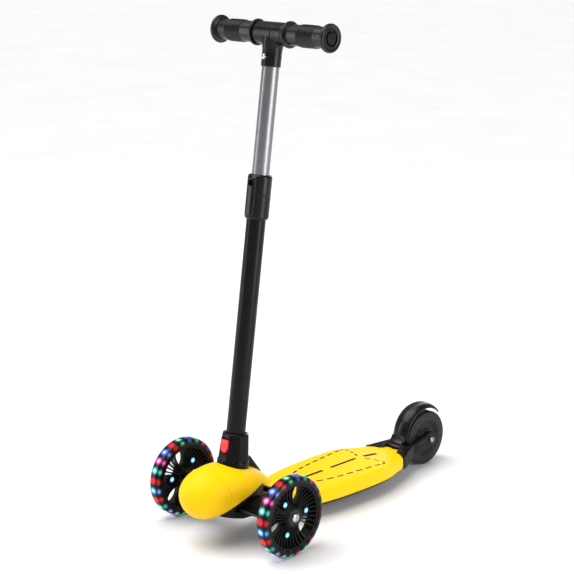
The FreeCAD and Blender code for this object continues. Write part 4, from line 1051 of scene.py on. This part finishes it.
make("fender_hood", [fender_skin()], "brake", GLOSS, "gloss_black_plastic", ("rear_fender",), wall=2.4,
     sharp=60)
knuckle_ring = softened([(0, 2.1), (0, 4.5), (5.7, 4.5), (5.7, 2.1)], 0.6)
web = softened([(HINGE_Y - 2.5, HINGE_Z + 3.5), (HINGE_Y + 3.5, HINGE_Z - 2.5), (369.6, 47.8), (368.8, 55.8)],
               1.2)
hinge_skins = []
for x0 in (-12.7, 7.0):
    hinge_skins += [turned(knuckle_ring, (x0, HINGE_Y, HINGE_Z), turns=40),
                    slab(web, x0, x0 + 5.7, 0.6, across)]
apron = softened([(358.6, 49.6), (361.5, 48.3), (366.0, 48.3), (369.4, 50.0), (369.4, 60), (367.4, 60),
                  (363.5, 54.0)], 1.0)
hinge_skins.append(slab(apron, -12.8, 12.8, 0.6, across))
make("fender_knuckles", hinge_skins, "brake", GLOSS, "gloss_black_plastic")

# ---- small CAD pieces that keep their own shape ----------------------------

KEPT_NODES = (
    (STEEL, "release_spring height_pin_spring bar_tube left_magnet_spacer right_magnet_spacer rear_bearings "
            "rear_inner_spacer brake_shoe lean_bolt lean_nut carrier_screws"),
    (DARK_STEEL, "brake_pin brake_spring"),
    (BLACK, "stem_foot_plug upper_tube_foot rear_side_bushes"))
for finish, nodes in KEPT_NODES:
    for node in nodes.split():
        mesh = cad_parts[node].data
        mesh.materials.clear()
        mesh.materials.append(finish)

# ---- floor, light and camera -----------------------------------------------


def pale_floor():
    """A wide, nearly white disc under the scooter."""
    f = Finish("pale studio floor", (0.86, 0.86, 0.86), 0.6)
    f.wear((0.85, 0.85, 0.85), (0.88, 0.88, 0.88), 400.0, 0.55, 0.65)
    mesh = bpy.data.meshes.new("studio_floor")
    angle = np.linspace(0, 2 * np.pi, 64, endpoint=False)
    ring = np.stack([40 * np.cos(angle), 40 * np.sin(angle), np.zeros(64)], axis=1)
    mesh.from_pydata(ring.tolist(), [], [list(range(64))])
    mesh.materials.append(f.material)
    linked("studio_floor", mesh)


def soft_light(name, place, aim, size, power):
    """A white rectangular lamp that looks at a point."""
    lamp = bpy.data.lights.new(name, "AREA")
    lamp.shape, lamp.size, lamp.size_y = "RECTANGLE", size[0], size[1]
    lamp.energy = power
    light = linked(name, lamp)
    light.location = place
    light.rotation_euler = (Vector(aim) - Vector(place)).to_track_quat("-Z", "Y").to_euler()


pale_floor()
world = bpy.data.worlds.new("studio")
world.use_nodes = True
background = world.node_tree.nodes["Background"].inputs
background["Color"].default_value = (1.0, 1.0, 1.0, 1.0)
background["Strength"].default_value = 0.32
bpy.context.scene.world = world
sun = bpy.data.lights.new("overhead", "SUN")
sun.energy, sun.angle = 3.0, math.radians(55.0)
overhead = linked("overhead", sun)
overhead.rotation_euler = Vector((0.25, 0.30, -1.0)).to_track_quat("-Z", "Y").to_euler()
soft_light("side", (2.4, 0.35, 0.9), (0.0, 0.0, 0.4), (1.1, 1.7), 36.0)
soft_light("left_strip", (-1.7, -1.9, 0.9), (0.0, 0.0, 0.4), (0.3, 1.7), 12.0)
soft_light("rim", (-1.3, 2.4, 1.0), (0.0, 0.0, 0.5), (0.5, 1.6), 12.0)
bpy.context.scene.view_settings.view_transform = "Standard"

camera_data = bpy.data.cameras.new("camera")
camera_data.lens, camera_data.sensor_width = 100.33, 36.0
camera = linked("camera", camera_data)
camera.location = (1.6031, -1.7027, 0.9286)
camera.rotation_euler = (math.radians(90.0 - 14.087), 0.0, math.radians(44.591))
bpy.context.scene.camera = camera
